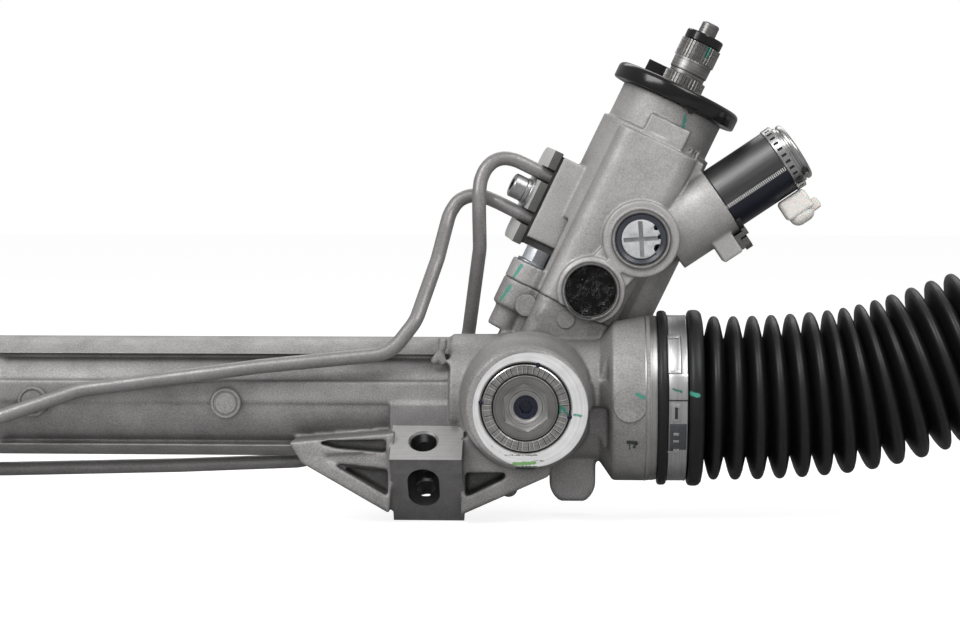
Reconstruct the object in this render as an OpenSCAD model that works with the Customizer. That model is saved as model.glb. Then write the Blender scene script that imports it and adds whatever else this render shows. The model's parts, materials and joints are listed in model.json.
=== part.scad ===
// Hydraulic rack-and-pinion steering gear with a solenoid-controlled rotary valve, inner tie
// rods and bellows. Millimetres. The origin is in the wall of the right mounting bolt's hole,
// X runs along the rack towards the pinion end, Z is up and the mounting side faces -Y.
// rack_frame() starts on the rack axis, level with the support yoke. tower() starts where the
// pinion axis passes behind the rack, with its own z up the input shaft.

/* [Rack] */
// Travel of the rack from centre to either lock
travel = 70; // [60:1:75]
// Diameter of the rack bar
rack_d = 25; // [24:0.5:26]
// Distance between the centres of the two inner ball joints
ball_span = 692; // [680:1:710]
// Distance from the yoke axis to the right ball joint
ball_right = 132; // [130:1:136]
// Radial running clearance of the rack in its bushes and yoke
rack_fit = 0.05; // [0.02:0.01:0.1]

/* [Pinion] */
// Number of pinion teeth
teeth = 7; // [6:1:8]
// Normal module of the teeth
module_n = 2.1; // [2:0.05:2.2]
// Normal pressure angle of the teeth in degrees
pressure_angle = 20; // [18:1:22]
// Lean of the pinion axis from vertical in degrees, which is also its helix angle
tower_lean = 25.8; // [23:0.1:28]
// Height of the rack's reference line behind the rack axis
rack_line = 8.2; // [7.8:0.1:8.4]
// Profile shift of the pinion
pinion_shift = 0.63; // [0.5:0.01:0.8]
// Backlash, as extra width of each tooth gap
backlash = 0.3; // [0.2:0.02:0.4]
// Length of the toothed part of the pinion
pinion_face = 26; // [24:1:28]
// Where the pinion axis crosses the rack axis, from the yoke axis
tower_x = 0.7; // [0:0.1:1.5]

/* [Rack housing] */
// Height of the ribbed tube, which is also twice its flange radius
tube_h = 50.4; // [49:0.2:52]
// Diameter of the tube's round core
tube_core_d = 41; // [40:0.5:43]
// Clearance of the rack in the long bore, per side
bore_gap = 1.5; // [1:0.1:2]
// Height of the rib along the middle of the tube
mid_rib_h = 8.8; // [6:0.2:10]
// Height of that rib's centre over the rack axis
mid_rib_z = 3.8; // [2:0.2:4]
// Depth of the tube's ribs, from the back face to the front face
rib_depth = 44; // [42:0.5:45]
// Thickness of the top and bottom flange ribs
flange_rib_h = 6.4; // [5:0.2:7.5]
// Outside diameter of the hydraulic cylinder
cyl_od = 55; // [53:0.5:57]
// Bore of the hydraulic cylinder
cyl_bore = 40; // [38:0.5:42]
// Outside diameter of the collar behind each bellows
collar_d = 69.4; // [68:0.2:71]
// Width of that collar
collar_w = 15.2; // [13:0.2:17]
// Distance from the yoke axis to the right end shoulder
end_right = 53.3; // [52:0.1:55]
// Outside diameter of the neck that holds a bellows
neck_d = 63; // [61:0.2:64]
// Length of that neck
neck_l = 13; // [12:0.2:14]
// Diameter of the drum around the yoke
drum_d = 53; // [52:0.5:55]
// Radius of the joint pocket over the ball joint's housing
pocket_gap = 1.5; // [1:0.1:2]

/* [Support yoke] */
// Distance from the rack axis to the yoke boss's machined face
boss_face = 48; // [46:0.5:50]
// Diameter of the boss's machined face
boss_d = 48; // [47:0.5:51]
// Diameter at the boss's foot
boss_foot_d = 58; // [56:0.5:60]
// Diameter of the support yoke
yoke_d = 33; // [31:0.5:34]
// Diameter of the lock ring
lock_ring_d = 36; // [35:0.2:37]
// Diameter of the adjuster screw
adjuster_d = 26.8; // [25:0.2:28]
// Size across the flats of the adjuster's socket
socket_af = 17; // [14:0.5:18]
// Diameter of the hole in the adjuster
adjuster_hole_d = 9.7; // [8:0.1:11]
// Number of notches on the lock ring
notches = 48; // [36:4:60]

/* [Mounting blocks] */
// Lean of the bolt holes from vertical, towards the front, in degrees
bolt_lean = 35.6; // [33:0.2:38]
// Distance along the rack from the yoke axis to the right bolt hole
bolt_x = 42; // [41:0.5:44]
// How far the right bolt hole's centre lies in front of the rack axis
bolt_front = 29.3; // [29:0.1:30]
// How far it lies under the rack axis
bolt_drop = 17.8; // [17.2:0.1:18.4]
// Distance from the left bolt hole to the left end of the housing
bolt_inset = 87.3; // [80:0.1:100]
// Diameter of the bolt hole
bolt_hole_d = 10.8; // [10:0.1:11.5]
// Diameter of the hole below the slot
low_hole_d = 9.2; // [8.5:0.1:9.8]
// Width of a mounting block
block_w = 29; // [28:0.5:31]
// Depth of a mounting block
block_d = 22; // [21:0.5:24]
// Length of a mounting block along the bolt
block_h = 33.8; // [31:0.2:35]
// Wall over the nut slot
block_roof = 5.2; // [4.6:0.1:6]
// Width of the nut slot
slot_w = 13; // [12:0.2:14]
// Height of the nut slot
slot_h = 20.4; // [18:0.2:22]

/* [Valve housing] */
// Height of the joint between the two housings along the pinion axis
seam = 41.5; // [41:0.1:42.5]
// Radius of the valve housing's body
body_r = 24.3; // [23.8:0.1:25]
// Radius of its neck
neck_r = 22.4; // [21.5:0.1:23]
// Height of the body's shoulder
shoulder = 121; // [119:0.5:123]
// Height of the neck's top
neck_top = 136.8; // [134:0.1:138]
// Distance of the flange bolts from the pinion axis
flange_bolt_r = 26; // [25.5:0.1:27]
// Thickness of the valve housing's flange
flange_t = 8.5; // [7.5:0.5:10]
// Radius of the valve bore
valve_bore_r = 15; // [14.5:0.1:15.5]
// Radius of the hydraulic ports
port_r = 10.4; // [10:0.1:10.8]
// Height of the upper port, and its offset from the pinion axis
port_up = 79.9; // [79:0.1:81]
port_up_x = 12.2; // [11.5:0.1:13]
// Height of the lower port, and its offset
port_low = 51.8; // [51:0.1:53]
port_low_x = 2.9; // [2:0.1:4]
// Distance from the pinion axis to the port faces
port_face = 34; // [33:0.5:35]

/* [Input shaft] */
// Diameter over the splines
spline_d = 17.5; // [17:0.1:18]
// Number of splines
splines = 36; // [30:2:40]
// Diameter of the shaft in its bearing
shaft_d = 18.4; // [18.2:0.1:19]
// Diameter of the torsion bar
torsion_d = 6; // [5.5:0.1:6.5]
// Height of the shaft's end
shaft_top = 174; // [172:0.5:176]
// Diameter of the dust cap
dust_d = 55.4; // [54:0.2:57]
// Thickness of the dust cap at its rim
dust_t = 7.2; // [6:0.1:8]
// Height of the tab on the dust cap
dust_tab_h = 5.5; // [3:0.5:7]
// Height of its pointer below the rim
dust_pointer_h = 2.2; // [1:0.1:3]

/* [Solenoid] */
// Diameter of the solenoid's can
can_d = 28; // [27:0.2:29]
// Length of the can
can_l = 33.5; // [32:0.5:35]
// Height of the solenoid's axis over the horizontal in degrees
can_rise = 33.7; // [32:0.1:35]

/* [Tie rods and bellows] */
// Diameter of the ball
ball_d = 26; // [25:0.2:27]
// Wall of the ball's seat
seat_t = 1.5; // [1.2:0.1:1.8]
// Diameter of the ball joint's housing
joint_d = 36.5; // [35.5:0.5:37]
// Length of the joint housing behind the ball's centre
joint_back = 33; // [32:0.5:34]
// Length of a tie rod from the ball's centre
rod_l = 226; // [220:1:235]
// Diameter of the tie rod's shank
rod_d = 15; // [14.4:0.2:15.6]
// Diameter of the tie rod's thread
thread_d = 14; // [13.8:0.2:14.2]
// Length of that thread
thread_l = 62; // [58:1:66]
// Height of the jam nut on each tie rod
jam_nut_h = 8; // [6:0.5:10]
// Width of the jam nut across its flats
jam_nut_af = 22; // [19:0.5:24]
// Depth of the ring that marks where the jam nut sits
mark_depth = 0.5; // [0.3:0.1:0.8]
// Upward lean of the right tie rod at rest, in degrees
rod_lean = 20; // [16:1:22]
// Outer radius of the bellows' folds
crest_r = 34.2; // [33:0.2:35]
// Outer radius between the folds
valley_r = 24.5; // [24:0.1:26]
// Distance from fold to fold
fold_pitch = 8.6; // [8.4:0.05:8.7]
// Number of folds
folds = 17; // [16:1:18]
// Wall of the bellows
rubber_t = 1.6; // [1.3:0.1:1.9]
// Width of the large clamp band
clamp_w = 7.7; // [7:0.1:8.2]
// Thickness of the clamp bands
clamp_t = 0.8; // [0.6:0.1:1]

/* [Pipes] */
// Outside diameter of the hydraulic pipes
pipe_d = 6; // [5.6:0.1:6.2]

/* [Hidden] */
$fn = 64;
e = 0.01;
press = 0.02;
rack_r = rack_d / 2;
bore_r = rack_r + bore_gap;
// The gear pair in the plane square to the pinion axis
pitch_x = PI * module_n;
pitch_t = pitch_x / cos(tower_lean);
pitch_r = teeth * pitch_t / (2 * PI);
flank = tan(pressure_angle) / cos(tower_lean);
tooth_add = 0.9 * module_n;
tooth_ded = 1.15 * module_n;
tip_gap = 0.2 * module_n;
tower_y = rack_line + pitch_r + pinion_shift;
pinion_r = pitch_r + pinion_shift + tooth_add;
pinion_core = pitch_r + pinion_shift - tooth_add - tip_gap;
twist_per_mm = tan(tower_lean) / pitch_r * 180 / PI;
// Stations along the rack
ball_left = ball_right - ball_span;
face_right = ball_right - joint_back;
face_left = ball_left + joint_back;
stop_gap = 0.4;
stop_right = face_right - travel - stop_gap;
stop_left = face_left + travel + stop_gap;
bush_l = 14;
bush_t = 3;
pocket_r = joint_d / 2 + pocket_gap;
end_left = ball_left + (ball_right - end_right);
bolt_span = -(end_left + bolt_inset + bolt_x);
end_bush_l = 20;
cyl_left = stop_left + end_bush_l;
piston_l = 22;
cyl_right = cyl_left + 2 * travel + piston_l + 38;
piston_x = (cyl_left + cyl_right) / 2;
seal_l = 8;
cyl_r = cyl_bore / 2;
// Stations along the pinion axis
pinion_top = 56;
journal_d = 12;
needle_low = -25;
needle_l = 10;
needle_od = 16;
cap_t = 5;
cap_d = 20;
case_flange = 29.5;
bolt_angles = [204, 38];
o_ring_in = 17.8;
o_ring_out = 19.4;
ball_brg_low = 19.5;
ball_brg_w = 10;
ball_brg_od = 35;
head_d = 17;
sleeve_low = 50;
sleeve_top = 100;
spool_low = 57;
shaft_brg_low = 104;
shaft_brg_l = 10;
shaft_brg_od = 24;
shaft_seal_low = 118;
shaft_seal_t = 6;
shaft_seal_od = 28;
// The union pad, where the pipes enter the valve housing
pad_x = 31.2;
pad_low = 56.5;
pad_high = 96.5;
pad_depth = 24;
union_t = 4.5;
pipe_up = 86.5;
pipe_low = 67;
union_bolt_t = (pipe_up + pipe_low) / 2;
pipe_r = pipe_d / 2;
// The solenoid
can_at = [79.8, 6, 82.5];
boss_r = 15.6;
boss_back = 28;
bridge_w = 18.5;
crimp_l = 4;
can_cap_l = 4.6;
clamp_screw_x = boss_r + 4.6;
// The yoke
yoke_back = boss_face - 13;
lock_ring_t = 6.5;
adjuster_sunk = 0.8;
adjuster_l = 10;
spring_wire = 2.4;
spring_coil_r = 7.2;
spring_turns = 4;
yoke_pocket_r = 9.6;
yoke_pocket_floor = 20;
// The bellows
lip_w = 3.8;
lip_r = 36.5;
ring_w = 6.7;
ring_r = 36.7;
band_r = neck_d / 2 + 2.4;
bellows_start = 0.1;
bead_r = neck_d / 2 + 0.8;
bead_start = neck_l - 2;
folds_start = lip_w + clamp_w + 1.2 + ring_w + bellows_start;
sides = 22;
small_l = 14;
groove_r = rod_d / 2;
small_inner_r = (groove_r + rack_fit) / cos(180 / sides);
bend_from = 27;
bend_mid = 73;
bend_to = 108;
mid_lean = 6.5;
folds_l = folds * fold_pitch;
bellows_l = folds_start + folds_l + small_l;

// The outer end of the input shaft
band_low = 143;
band_l = 6.4;
band_d = 18.1;
neck_in_r = 7.7;
collar_low = 151.2;
spline_l = 7.8;
spline_low = 156.6;
ring_in_r = 6.4;
ring_out_r = 7.8;
ring_top = 168.6;
stub_r = 3.85;
// Sizes that belong to one piece each
nut_at = rod_l - thread_l + 14;
front_x = [-16, 19];
front_y = 26;
front_round = 7;
seat_up = 2.9;
slot_top = seat_up - block_roof;
wing_l = [[-97, -16], [-92, -24.5], [-56, -45], [-54, -20], [-54, -12]];
wing_l_cut = [[-83, -20.8], [-81, -24], [-56.5, -38], [-56.5, -19.5]];
wing_r = [[-27, -46], [-11, -38.8], [9, -29.8], [12, -18], [-27, -14]];
wing_r_cut = [[-24, -30], [-24, -38], [-9, -30.8], [-12, -28.5]];
lug_r = 9.6;
nut_l = 15;
boss_web = 12;
run_in = 60;
boss_l = 24;
front_boss = [cyl_right - 4, -cyl_od / 2 - 7.6, -7.6];
rear_boss = [cyl_left + 34, 12.5, -cyl_od / 2 - 7.5];
spring_low = yoke_pocket_floor + spring_wire / 2 + 0.1;
spring_high = boss_face - adjuster_sunk - adjuster_l - spring_wire / 2 - 0.1;
upper_route = [pad_point(24, pipe_up), pad_point(pad_x + union_t + 3, pipe_up), [-11, 15, 106.5],
    [-20, 10, 80], [-20, 14, 62], [-27, 31, 26], [-32, 32.5, 0], [-60, 27, -19], [-98, 11, -29], [-150, 9, -31], [-224, 9, -33],
    rear_boss + [run_in, 0, 0], rear_boss + [3, 0, 0]];
lower_route = [pad_point(24, pipe_low), pad_point(pad_x + union_t + 3, pipe_low), [-20, 22, 87],
    [-35, 20, 78], [-38.5, 2, 58], [-46, -20, 33], [-56, -26, 20], [-110, -26.5, 14.5], [-184, -27.5, 4.6], front_boss + [nut_l + 5, 0, 0],
    front_boss + [3, 0, 0]];
fold_shape = [[0, 0], [0.3, 0.88], [0.5, 1], [0.7, 0.88]];
end_centre = centre_at(bellows_l);
rod_at_end = (end_centre[0] - (ball_right - end_right)) * tan(rod_lean);
ring_heights = [55, 67, 79, 91];
first_gap = ceil((travel + 16) / pitch_x);
opening_a = 62;
rod_neck_r = 5.8;
small_end_right = norm([end_centre[0] - (ball_right - end_right), rod_at_end]);
small_end_left = bellows_l - (ball_right - end_right);

cast = "silver";
steel = "lightsteelblue";
dark_steel = "slategray";
rubber = "#222222";

// Frames
module rack_frame() translate([bolt_x, bolt_front, bolt_drop]) children();
module tower() rack_frame() translate([tower_x, tower_y, 0]) rotate([0, tower_lean, 0]) children();
module along_x(x) rack_frame() translate([x, 0, 0]) rotate([0, 90, 0]) children();
module to_front() rack_frame() rotate([90, 0, 0]) children();
module solenoid() rack_frame() translate(can_at) rotate([0, 90 - can_rise, 0]) children();
module bolt_frame(x) translate([x, 0, 0]) rotate([bolt_lean, 0, 0]) children();
module right_joint() rack_frame() translate([ball_right, 0, 0]) rotate([0, 90, 0]) children();
module left_joint() rack_frame() translate([ball_left, 0, 0]) rotate([0, -90, 0]) children();
module right_rod() rack_frame() translate([ball_right, 0, 0]) rotate([0, 90 - rod_lean, 0]) children();
module cut(r, z0, z1) translate([0, 0, z0]) cylinder(r = r, h = z1 - z0);
module tube_ring(ri, ro, z0, z1) difference() {
    cut(ro, z0, z1);
    cut(ri, z0 - 1, z1 + 1);
}
module at_port(x, t) tower() translate([x, 0, t]) rotate([90, 0, 0]) children();

// Square-sectioned ring that lies on a circle of radius r
module o_ring(r, wire) rotate_extrude() translate([r, 0]) circle(r = wire / 2, $fn = 24);

// Cross-section of the ribbed tube: x is the housing's Y, y is up
module tube_section() {
    circle(d = tube_core_d);
    intersection() {
        circle(d = tube_h);
        for (s = [-1, 1]) translate([0, s * (tube_h - flange_rib_h) / 2])
            square([rib_depth, flange_rib_h], center = true);
    }
    translate([0, mid_rib_z]) square([rib_depth, mid_rib_h], center = true);
}

// Outline of the joint between the two housings, square to the pinion axis
module flange_section() {
    circle(r = body_r);
    front_pad();
    for (a = bolt_angles) rotate(a) {
        translate([0, -9]) square([flange_bolt_r, 18]);
        translate([flange_bolt_r, 0]) circle(r = 8.5);
    }
    translate([18, 3]) circle(r = 14);
}

// Flattened front of the valve housing's section
module front_pad() {
    translate([front_x[0], -front_y + front_round]) square([front_x[1] - front_x[0], front_y]);
    translate([front_x[0] + front_round, -front_y])
        square([front_x[1] - front_x[0] - 2 * front_round, front_y]);
    for (x = [front_x[0] + front_round, front_x[1] - front_round])
        translate([x, -front_y + front_round]) circle(r = front_round);
}

// One mounting block with its bolt hole, nut slot and lower hole
module block_solid() {
    difference() {
        translate([-block_w / 2 + 1.4, -block_d / 2, seat_up - block_h]) cube([block_w, block_d, block_h]);
        translate([block_w / 2 + 1.4, block_d / 2, seat_up - block_h / 2]) rotate(45)
            cube([5, 5, block_h + 1], center = true);
    }
}
module block_holes() {
    cut(bolt_hole_d / 2, slot_top - 1, seat_up + 1);
    translate([0, 0, seat_up - 0.7]) cylinder(r1 = bolt_hole_d / 2, r2 = bolt_hole_d / 2 + 1, h = 1);
    cut(low_hole_d / 2, seat_up - block_h - 40, slot_top - slot_h + 1);
    nut_slot();
}
module nut_slot() {
    r = slot_w / 2;
    deep = 20;
    for (z = [slot_top - r, slot_top - slot_h + r])
        translate([0, -block_d / 2 + deep, z]) rotate([90, 0, 0]) cylinder(r = r, h = deep + 1);
    translate([-r, -block_d / 2 - 1, slot_top - slot_h + r]) cube([slot_w, deep + 1, slot_h - slot_w]);
}

// Ribbed wing between a block and the tube: points are in the rack frame's X and Z
module wing(points, inset, y0, y1, floor_y) rack_frame() difference() {
    translate([0, y1, 0]) rotate([90, 0, 0]) linear_extrude(y1 - y0) polygon(points);
    translate([0, floor_y, 0]) rotate([90, 0, 0]) linear_extrude(60) polygon(inset);
}

module housing_end(x, sign) along_x(x) mirror([0, 0, sign > 0 ? 0 : 1]) {
    cut(collar_d / 2, -3 - collar_w, -3);
    cut(collar_d / 2 - 0.7, -3 - e, 0);
    cut(neck_d / 2, -e, neck_l);
    translate([0, 0, bead_start]) cylinder(r1 = bead_r, r2 = bead_r - 1.2, h = neck_l - bead_start);
    translate([0, 0, -3 - collar_w - 5]) cylinder(r1 = cyl_od / 2, r2 = collar_d / 2, h = 5 + e);
}

module rack_housing() color(cast) difference() {
    union() {
        rack_frame() translate([cyl_right - 12, 0, 0]) rotate([90, 0, 90])
            linear_extrude(stop_right - cyl_right + 24) tube_section();
        along_x(0) cut(drum_d / 2, -32, end_right - 3);
        along_x(0) cut(cyl_od / 2, end_left + 3, cyl_right + 6);
        along_x(cyl_right + 6 - e) cylinder(r1 = cyl_od / 2, r2 = tube_core_d / 2, h = 14);
        housing_end(end_right, 1);
        housing_end(end_left, -1);
        for (x = [0, -bolt_span]) bolt_frame(x) block_solid();
        block_wings();
        to_front() {
            translate([0, 0, 16]) cylinder(d1 = boss_foot_d, d2 = boss_d + 2, h = boss_face - 16 - 2);
            cut(boss_d / 2, boss_face - 3, boss_face);
        }
        pinion_case();
        port_bosses();
        rack_frame() lower_lug();
    }
    along_x(0) {
        cut(bore_r, cyl_right - 1, stop_right);
        cut(cyl_r, stop_left, cyl_right);
        cut(rack_r + 4.5, cyl_right - e, cyl_right + seal_l);
        cut(pocket_r, end_left - neck_l - 1, stop_left + e);
        cut(rack_r + bush_t, cyl_right + seal_l - e, cyl_right + seal_l + bush_l);
        cut(pocket_r, stop_right - e, end_right + neck_l + 1);
    }
    for (x = [0, -bolt_span]) bolt_frame(x) block_holes();
    to_front() {
        cut(yoke_d / 2 + rack_fit, 0, boss_face + 1);
        cut(lock_ring_d / 2 + press, boss_face - lock_ring_t - 0.5, boss_face + 1);
        translate([0, 0, boss_face - 0.6])
            cylinder(r1 = lock_ring_d / 2, r2 = lock_ring_d / 2 + 0.8, h = 0.8);
    }
    tower() {
        cut(pinion_r + 0.6, needle_low + needle_l - e, ball_brg_low + e);
        cut(needle_od / 2 + press, needle_low - e, needle_low + needle_l);
        cut(cap_d / 2 + press, -60, needle_low);
        cut(ball_brg_od / 2 + press, ball_brg_low, seam + 1);
        for (a = bolt_angles) rotate(a) translate([flange_bolt_r, 0, 0]) cut(3.4, seam - 18, seam + 1);
        intersection() {
            cut(33, seam, seam + 20);
            translate([-40, -26.3, seam]) cube([80, 60, 20]);
        }
    }
    cylinder_ports();
}

// Foot of the tower, cast in one with the rack housing
module pinion_case() tower() {
    cut(16, -31, 22);
    cut(body_r, 6, case_flange);
    translate([0, 0, case_flange]) linear_extrude(seam - case_flange) flange_section();
    translate([0, 0, 12]) linear_extrude(case_flange - 12) front_pad();
    for (a = bolt_angles) rotate(a) translate([flange_bolt_r, 0, 20]) cylinder(r = 6.5, h = case_flange - 19);
    translate([18, 3, 10]) cylinder(r = 13.6, h = case_flange - 9);
    for (p = [[-20.2, 35.6, 4.8, 9.7], [-9, 33.8, 3.8, front_y + 0.7]]) translate([p[0], 0, p[1]])
        rotate([90, 0, 0]) cylinder(r = p[2], h = p[3]);
}

module block_wings() {
    for (dx = [0, -bolt_span]) translate([dx, 0, 0]) {
        wing(wing_l, wing_l_cut, -33, -4, -20);
        wing(wing_r, wing_r_cut, -30, -4, -16);
        rack_frame() translate([-55.4, -20, -40]) cube([30, 24, 26]);
    }
}

// Lug under the yoke
module lower_lug() {
    translate([18.4, 12, -34.4]) rotate([90, 0, 0]) cylinder(r = lug_r, h = 22);
    translate([18.4 - lug_r, -10, -34.4]) cube([2 * lug_r, 22, 20]);
}

// Bosses where the two pipes enter the cylinder
module port_bosses() rack_frame() for (p = [front_boss, rear_boss]) {
    translate(p) rotate([0, -90, 0]) {
        cylinder(r = 9.5, h = boss_l);
        translate([0, 0, boss_l - e]) cylinder(r1 = 9.5, r2 = 5, h = 7);
    }
    translate([p[0] - boss_l + 0.5, 0, 0]) rotate([atan2(p[2], p[1]), 0, 0])
        translate([0, 0, -boss_web / 2]) cube([boss_l - 1, norm([p[1], p[2]]), boss_web]);
}
module cylinder_ports() rack_frame() for (i = [0, 1]) translate([front_boss, rear_boss][i]) {
    translate([1, 0, 0]) rotate([0, -90, 0]) cylinder(r = 6 + press, h = 11);
    rotate([0, -90, 0]) cylinder(r = 2, h = 19);
    translate([-17, 0, 0]) rotate(i == 0 ? [-90, 0, 0] : [0, 0, 0]) cylinder(r = 1.6, h = 20);
}

module valve_housing() color(cast) difference() {
    union() {
        tower() {
            cut(body_r, seam, shoulder);
            translate([0, 0, seam]) linear_extrude(shoulder - 2 - seam) front_pad();
            translate([0, 0, seam]) linear_extrude(flange_t) flange_section();
            cut(neck_r, shoulder - e, neck_top);
            translate([18, 3, seam]) cylinder(r = 14, h = 38);
            translate([18, 3, seam + 38]) sphere(r = 14);
            translate([-pad_x, -pad_depth / 2, pad_low]) cube([pad_x, pad_depth, pad_high - pad_low]);
            translate([-6.5, -neck_r - 1.2, shoulder - 2]) cube([18, neck_r, 9.5]);
            translate([12, -18, shoulder - 12]) cube([10.5, 18, 10]);
        }
        at_port(port_up_x, port_up) cut(15.8, 0, port_face - 1.5);
        at_port(port_up_x, port_up) cut(12.4, 0, port_face);
        at_port(port_low_x, port_low) cut(14, 0, port_face - 1.5);
        at_port(port_low_x, port_low) cut(12.2, 0, port_face);
        port_bridge();
        solenoid() {
            cut(boss_r, -boss_back, 0);
            translate([2, -9, -13]) cube([boss_r + 5, 18, 9]);
        }
    }
    tower() {
        cut(valve_bore_r + rack_fit, seam - 1, shaft_brg_low - 2);
        cut(shaft_brg_od / 2 + press, shaft_brg_low - 2 - e, shaft_seal_low);
        cut(shaft_seal_od / 2 + press, shaft_seal_low - e, neck_top + 1);
        for (a = bolt_angles) rotate(a) translate([flange_bolt_r, 0, 0]) {
            cut(4.3, seam - 1, seam + flange_t + 1);
            cut(7.5, seam + flange_t - 0.3, seam + flange_t + 24);
        }
        for (t = [pipe_up, pipe_low]) translate([0, 0, t]) rotate([0, -90, 0])
            cut(pipe_r + 0.3, 0, pad_x + 1);
        translate([0, -1, union_bolt_t]) rotate([0, -90, 0]) cut(3, 18, pad_x + 1);
    }
    for (p = [[port_up_x, port_up], [port_low_x, port_low]]) at_port(p[0], p[1]) {
        cut(port_r, 20, port_face + 1);
        cut(4, 12, 21);
        translate([0, 0, port_face - 0.8]) cylinder(r1 = port_r, r2 = port_r + 1, h = 1);
    }
    solenoid() {
        cut(8, -30, 1);
        translate([clamp_screw_x, 0, 0]) cut(1.9 + press, -11, 1);
    }
    tower() {
        cut(60, seam - 40, seam);
        tube_ring(o_ring_in - 0.1, o_ring_out + 0.1, seam - e, seam + 1.4);
    }
}

// Cast ledge that carries both ports
module port_bridge() {
    dx = port_up_x - port_low_x;
    dt = port_up - port_low;
    at_port(port_low_x, port_low) rotate(atan2(dt, dx)) translate([0, -bridge_w / 2, 0])
        cube([sqrt(dx * dx + dt * dt), bridge_w, port_face - 3]);
}

module flange_bolts() color(steel) tower() for (a = bolt_angles) rotate(a)
    translate([flange_bolt_r, 0, seam + flange_t - 0.3]) {
        cylinder(r = 6.8, h = 1.4);
        translate([0, 0, 1.4 - e]) cylinder(r = 5.9, h = 6, $fn = 6);
        cut(3.3, -flange_t - 16, e);
    }

module flange_o_ring() color(rubber) tower() tube_ring(o_ring_in, o_ring_out, seam + press, seam + 1.35);

module pinion_ball_bearing() color(steel) tower() {
    mid = ball_brg_low + ball_brg_w / 2;
    race_r = (ball_brg_od + head_d) / 4;
    for (s = [0, 1]) difference() {
        tube_ring(s == 0 ? head_d / 2 + press : race_r + 1.6,
            s == 0 ? race_r - 1.6 : ball_brg_od / 2, ball_brg_low, ball_brg_low + ball_brg_w);
        translate([0, 0, mid]) o_ring(race_r, 5.6);
    }
    for (i = [0:8]) rotate(i * 40) translate([race_r, 0, mid]) sphere(r = 2.75);
}

module pinion_needle_bearing() color(steel) tower()
    tube_ring(journal_d / 2 + rack_fit, needle_od / 2, needle_low, needle_low + needle_l);

module pinion_seal() color(rubber) tower()
    tube_ring(head_d / 2 + rack_fit, ball_brg_od / 2, ball_brg_low + ball_brg_w + 0.3, ball_brg_low + ball_brg_w + 6);

module pinion_cap() color(steel) tower() {
    cut(cap_d / 2, needle_low - cap_t, needle_low - 0.2);
    translate([0, 0, needle_low - cap_t - 1.2]) cylinder(r = 5, h = 1.4, $fn = 6);
}

module shaft_needle_bearing() color(steel) tower()
    tube_ring(shaft_d / 2 + rack_fit, shaft_brg_od / 2, shaft_brg_low, shaft_brg_low + shaft_brg_l);

module shaft_seal() color(rubber) tower()
    tube_ring(shaft_d / 2 + rack_fit, shaft_seal_od / 2, shaft_seal_low, shaft_seal_low + shaft_seal_t);

module dust_cap() color(rubber) tower() difference() {
    union() {
        cut(dust_d / 2, neck_top, neck_top + dust_t - 1.5);
        translate([0, 0, neck_top + dust_t - 1.5]) cylinder(r1 = dust_d / 2, r2 = dust_d / 2 - 1.2, h = 1.5);
        translate([-14.4, 6.6, neck_top + dust_t - 1]) cube([7, 5, dust_tab_h + 1]);
        translate([6, -dust_d / 2 + 0.3, neck_top - dust_pointer_h]) cube([3, 2.4, dust_pointer_h + 1]);
    }
    cut(shaft_d / 2 + 0.6, neck_top - 1, neck_top + dust_t + 1);
}

module support_yoke() color(steel) to_front() difference() {
    cut(yoke_d / 2, 1.5, yoke_back);
    rotate([0, 90, 0]) cut(rack_r + rack_fit, -yoke_d, yoke_d);
    cut(yoke_pocket_r, yoke_pocket_floor, yoke_back + 1);
    translate([0, 0, yoke_back - 5]) o_ring(yoke_d / 2 - 0.6, 2.6);
}

module yoke_o_ring() color(rubber) to_front() intersection() {
    translate([0, 0, yoke_back - 5]) o_ring(yoke_d / 2 - 0.6, 2.5);
    cut(yoke_d / 2 + rack_fit / 2, 0, yoke_back);
}

module yoke_spring() color(steel) to_front()
    sweep([for (i = [0:spring_turns * 12]) let (a = i * 30)
        [spring_coil_r * cos(a), spring_coil_r * sin(a),
        spring_low + (spring_high - spring_low) * i / (spring_turns * 12)]], spring_wire / 2, 8);

module yoke_adjuster() color(dark_steel) to_front() difference() {
    cut(adjuster_d / 2, boss_face - adjuster_sunk - adjuster_l, boss_face - adjuster_sunk);
    translate([0, 0, boss_face - adjuster_sunk - 2.4]) rotate(6)
        cylinder(r = socket_af / sqrt(3), h = 4, $fn = 6);
    cut(adjuster_hole_d / 2, boss_face - 60, boss_face);
    translate([0, 0, boss_face - adjuster_sunk - 3.2]) cylinder(r1 = adjuster_hole_d / 2, r2 = 7, h = 1);
}

module adjuster_screw() color(dark_steel) to_front() difference() {
    cut(adjuster_hole_d / 2 - press, boss_face - adjuster_sunk - adjuster_l, boss_face - 5.6);
    translate([0, 0, boss_face - 8.4]) cylinder(r = 2.9, h = 4, $fn = 6);
}

module yoke_lock_ring() color(dark_steel) to_front() difference() {
    union() {
        tube_ring(adjuster_d / 2 + press, lock_ring_d / 2, boss_face - lock_ring_t, boss_face - 1);
        tube_ring(adjuster_d / 2 + press, lock_ring_d / 2 - 0.8, boss_face - 1 - e, boss_face - 0.3);
    }
    for (i = [0:notches - 1]) rotate(i * 360 / notches)
        translate([adjuster_d / 2 - 1, -0.14, boss_face - 0.9])
        cube([lock_ring_d / 2 - adjuster_d / 2 - 0.3, 0.28, 2]);
}

module rack_bush() color("dimgray") along_x(cyl_right + seal_l)
    tube_ring(rack_r + rack_fit, rack_r + bush_t - press, 0.1, bush_l - 0.1);

module inner_rack_seal() color(rubber) along_x(cyl_right)
    tube_ring(rack_r + rack_fit, rack_r + 4.5 - press, 0.1, seal_l - 0.1);

module cylinder_end_bush() color(steel) along_x(stop_left) difference() {
    tube_ring(rack_r + rack_fit, cyl_r - rack_fit, 0.2, end_bush_l);
    translate([0, 0, 6]) tube_ring(cyl_r - 1, cyl_r + 1, 0, 2);
}

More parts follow.
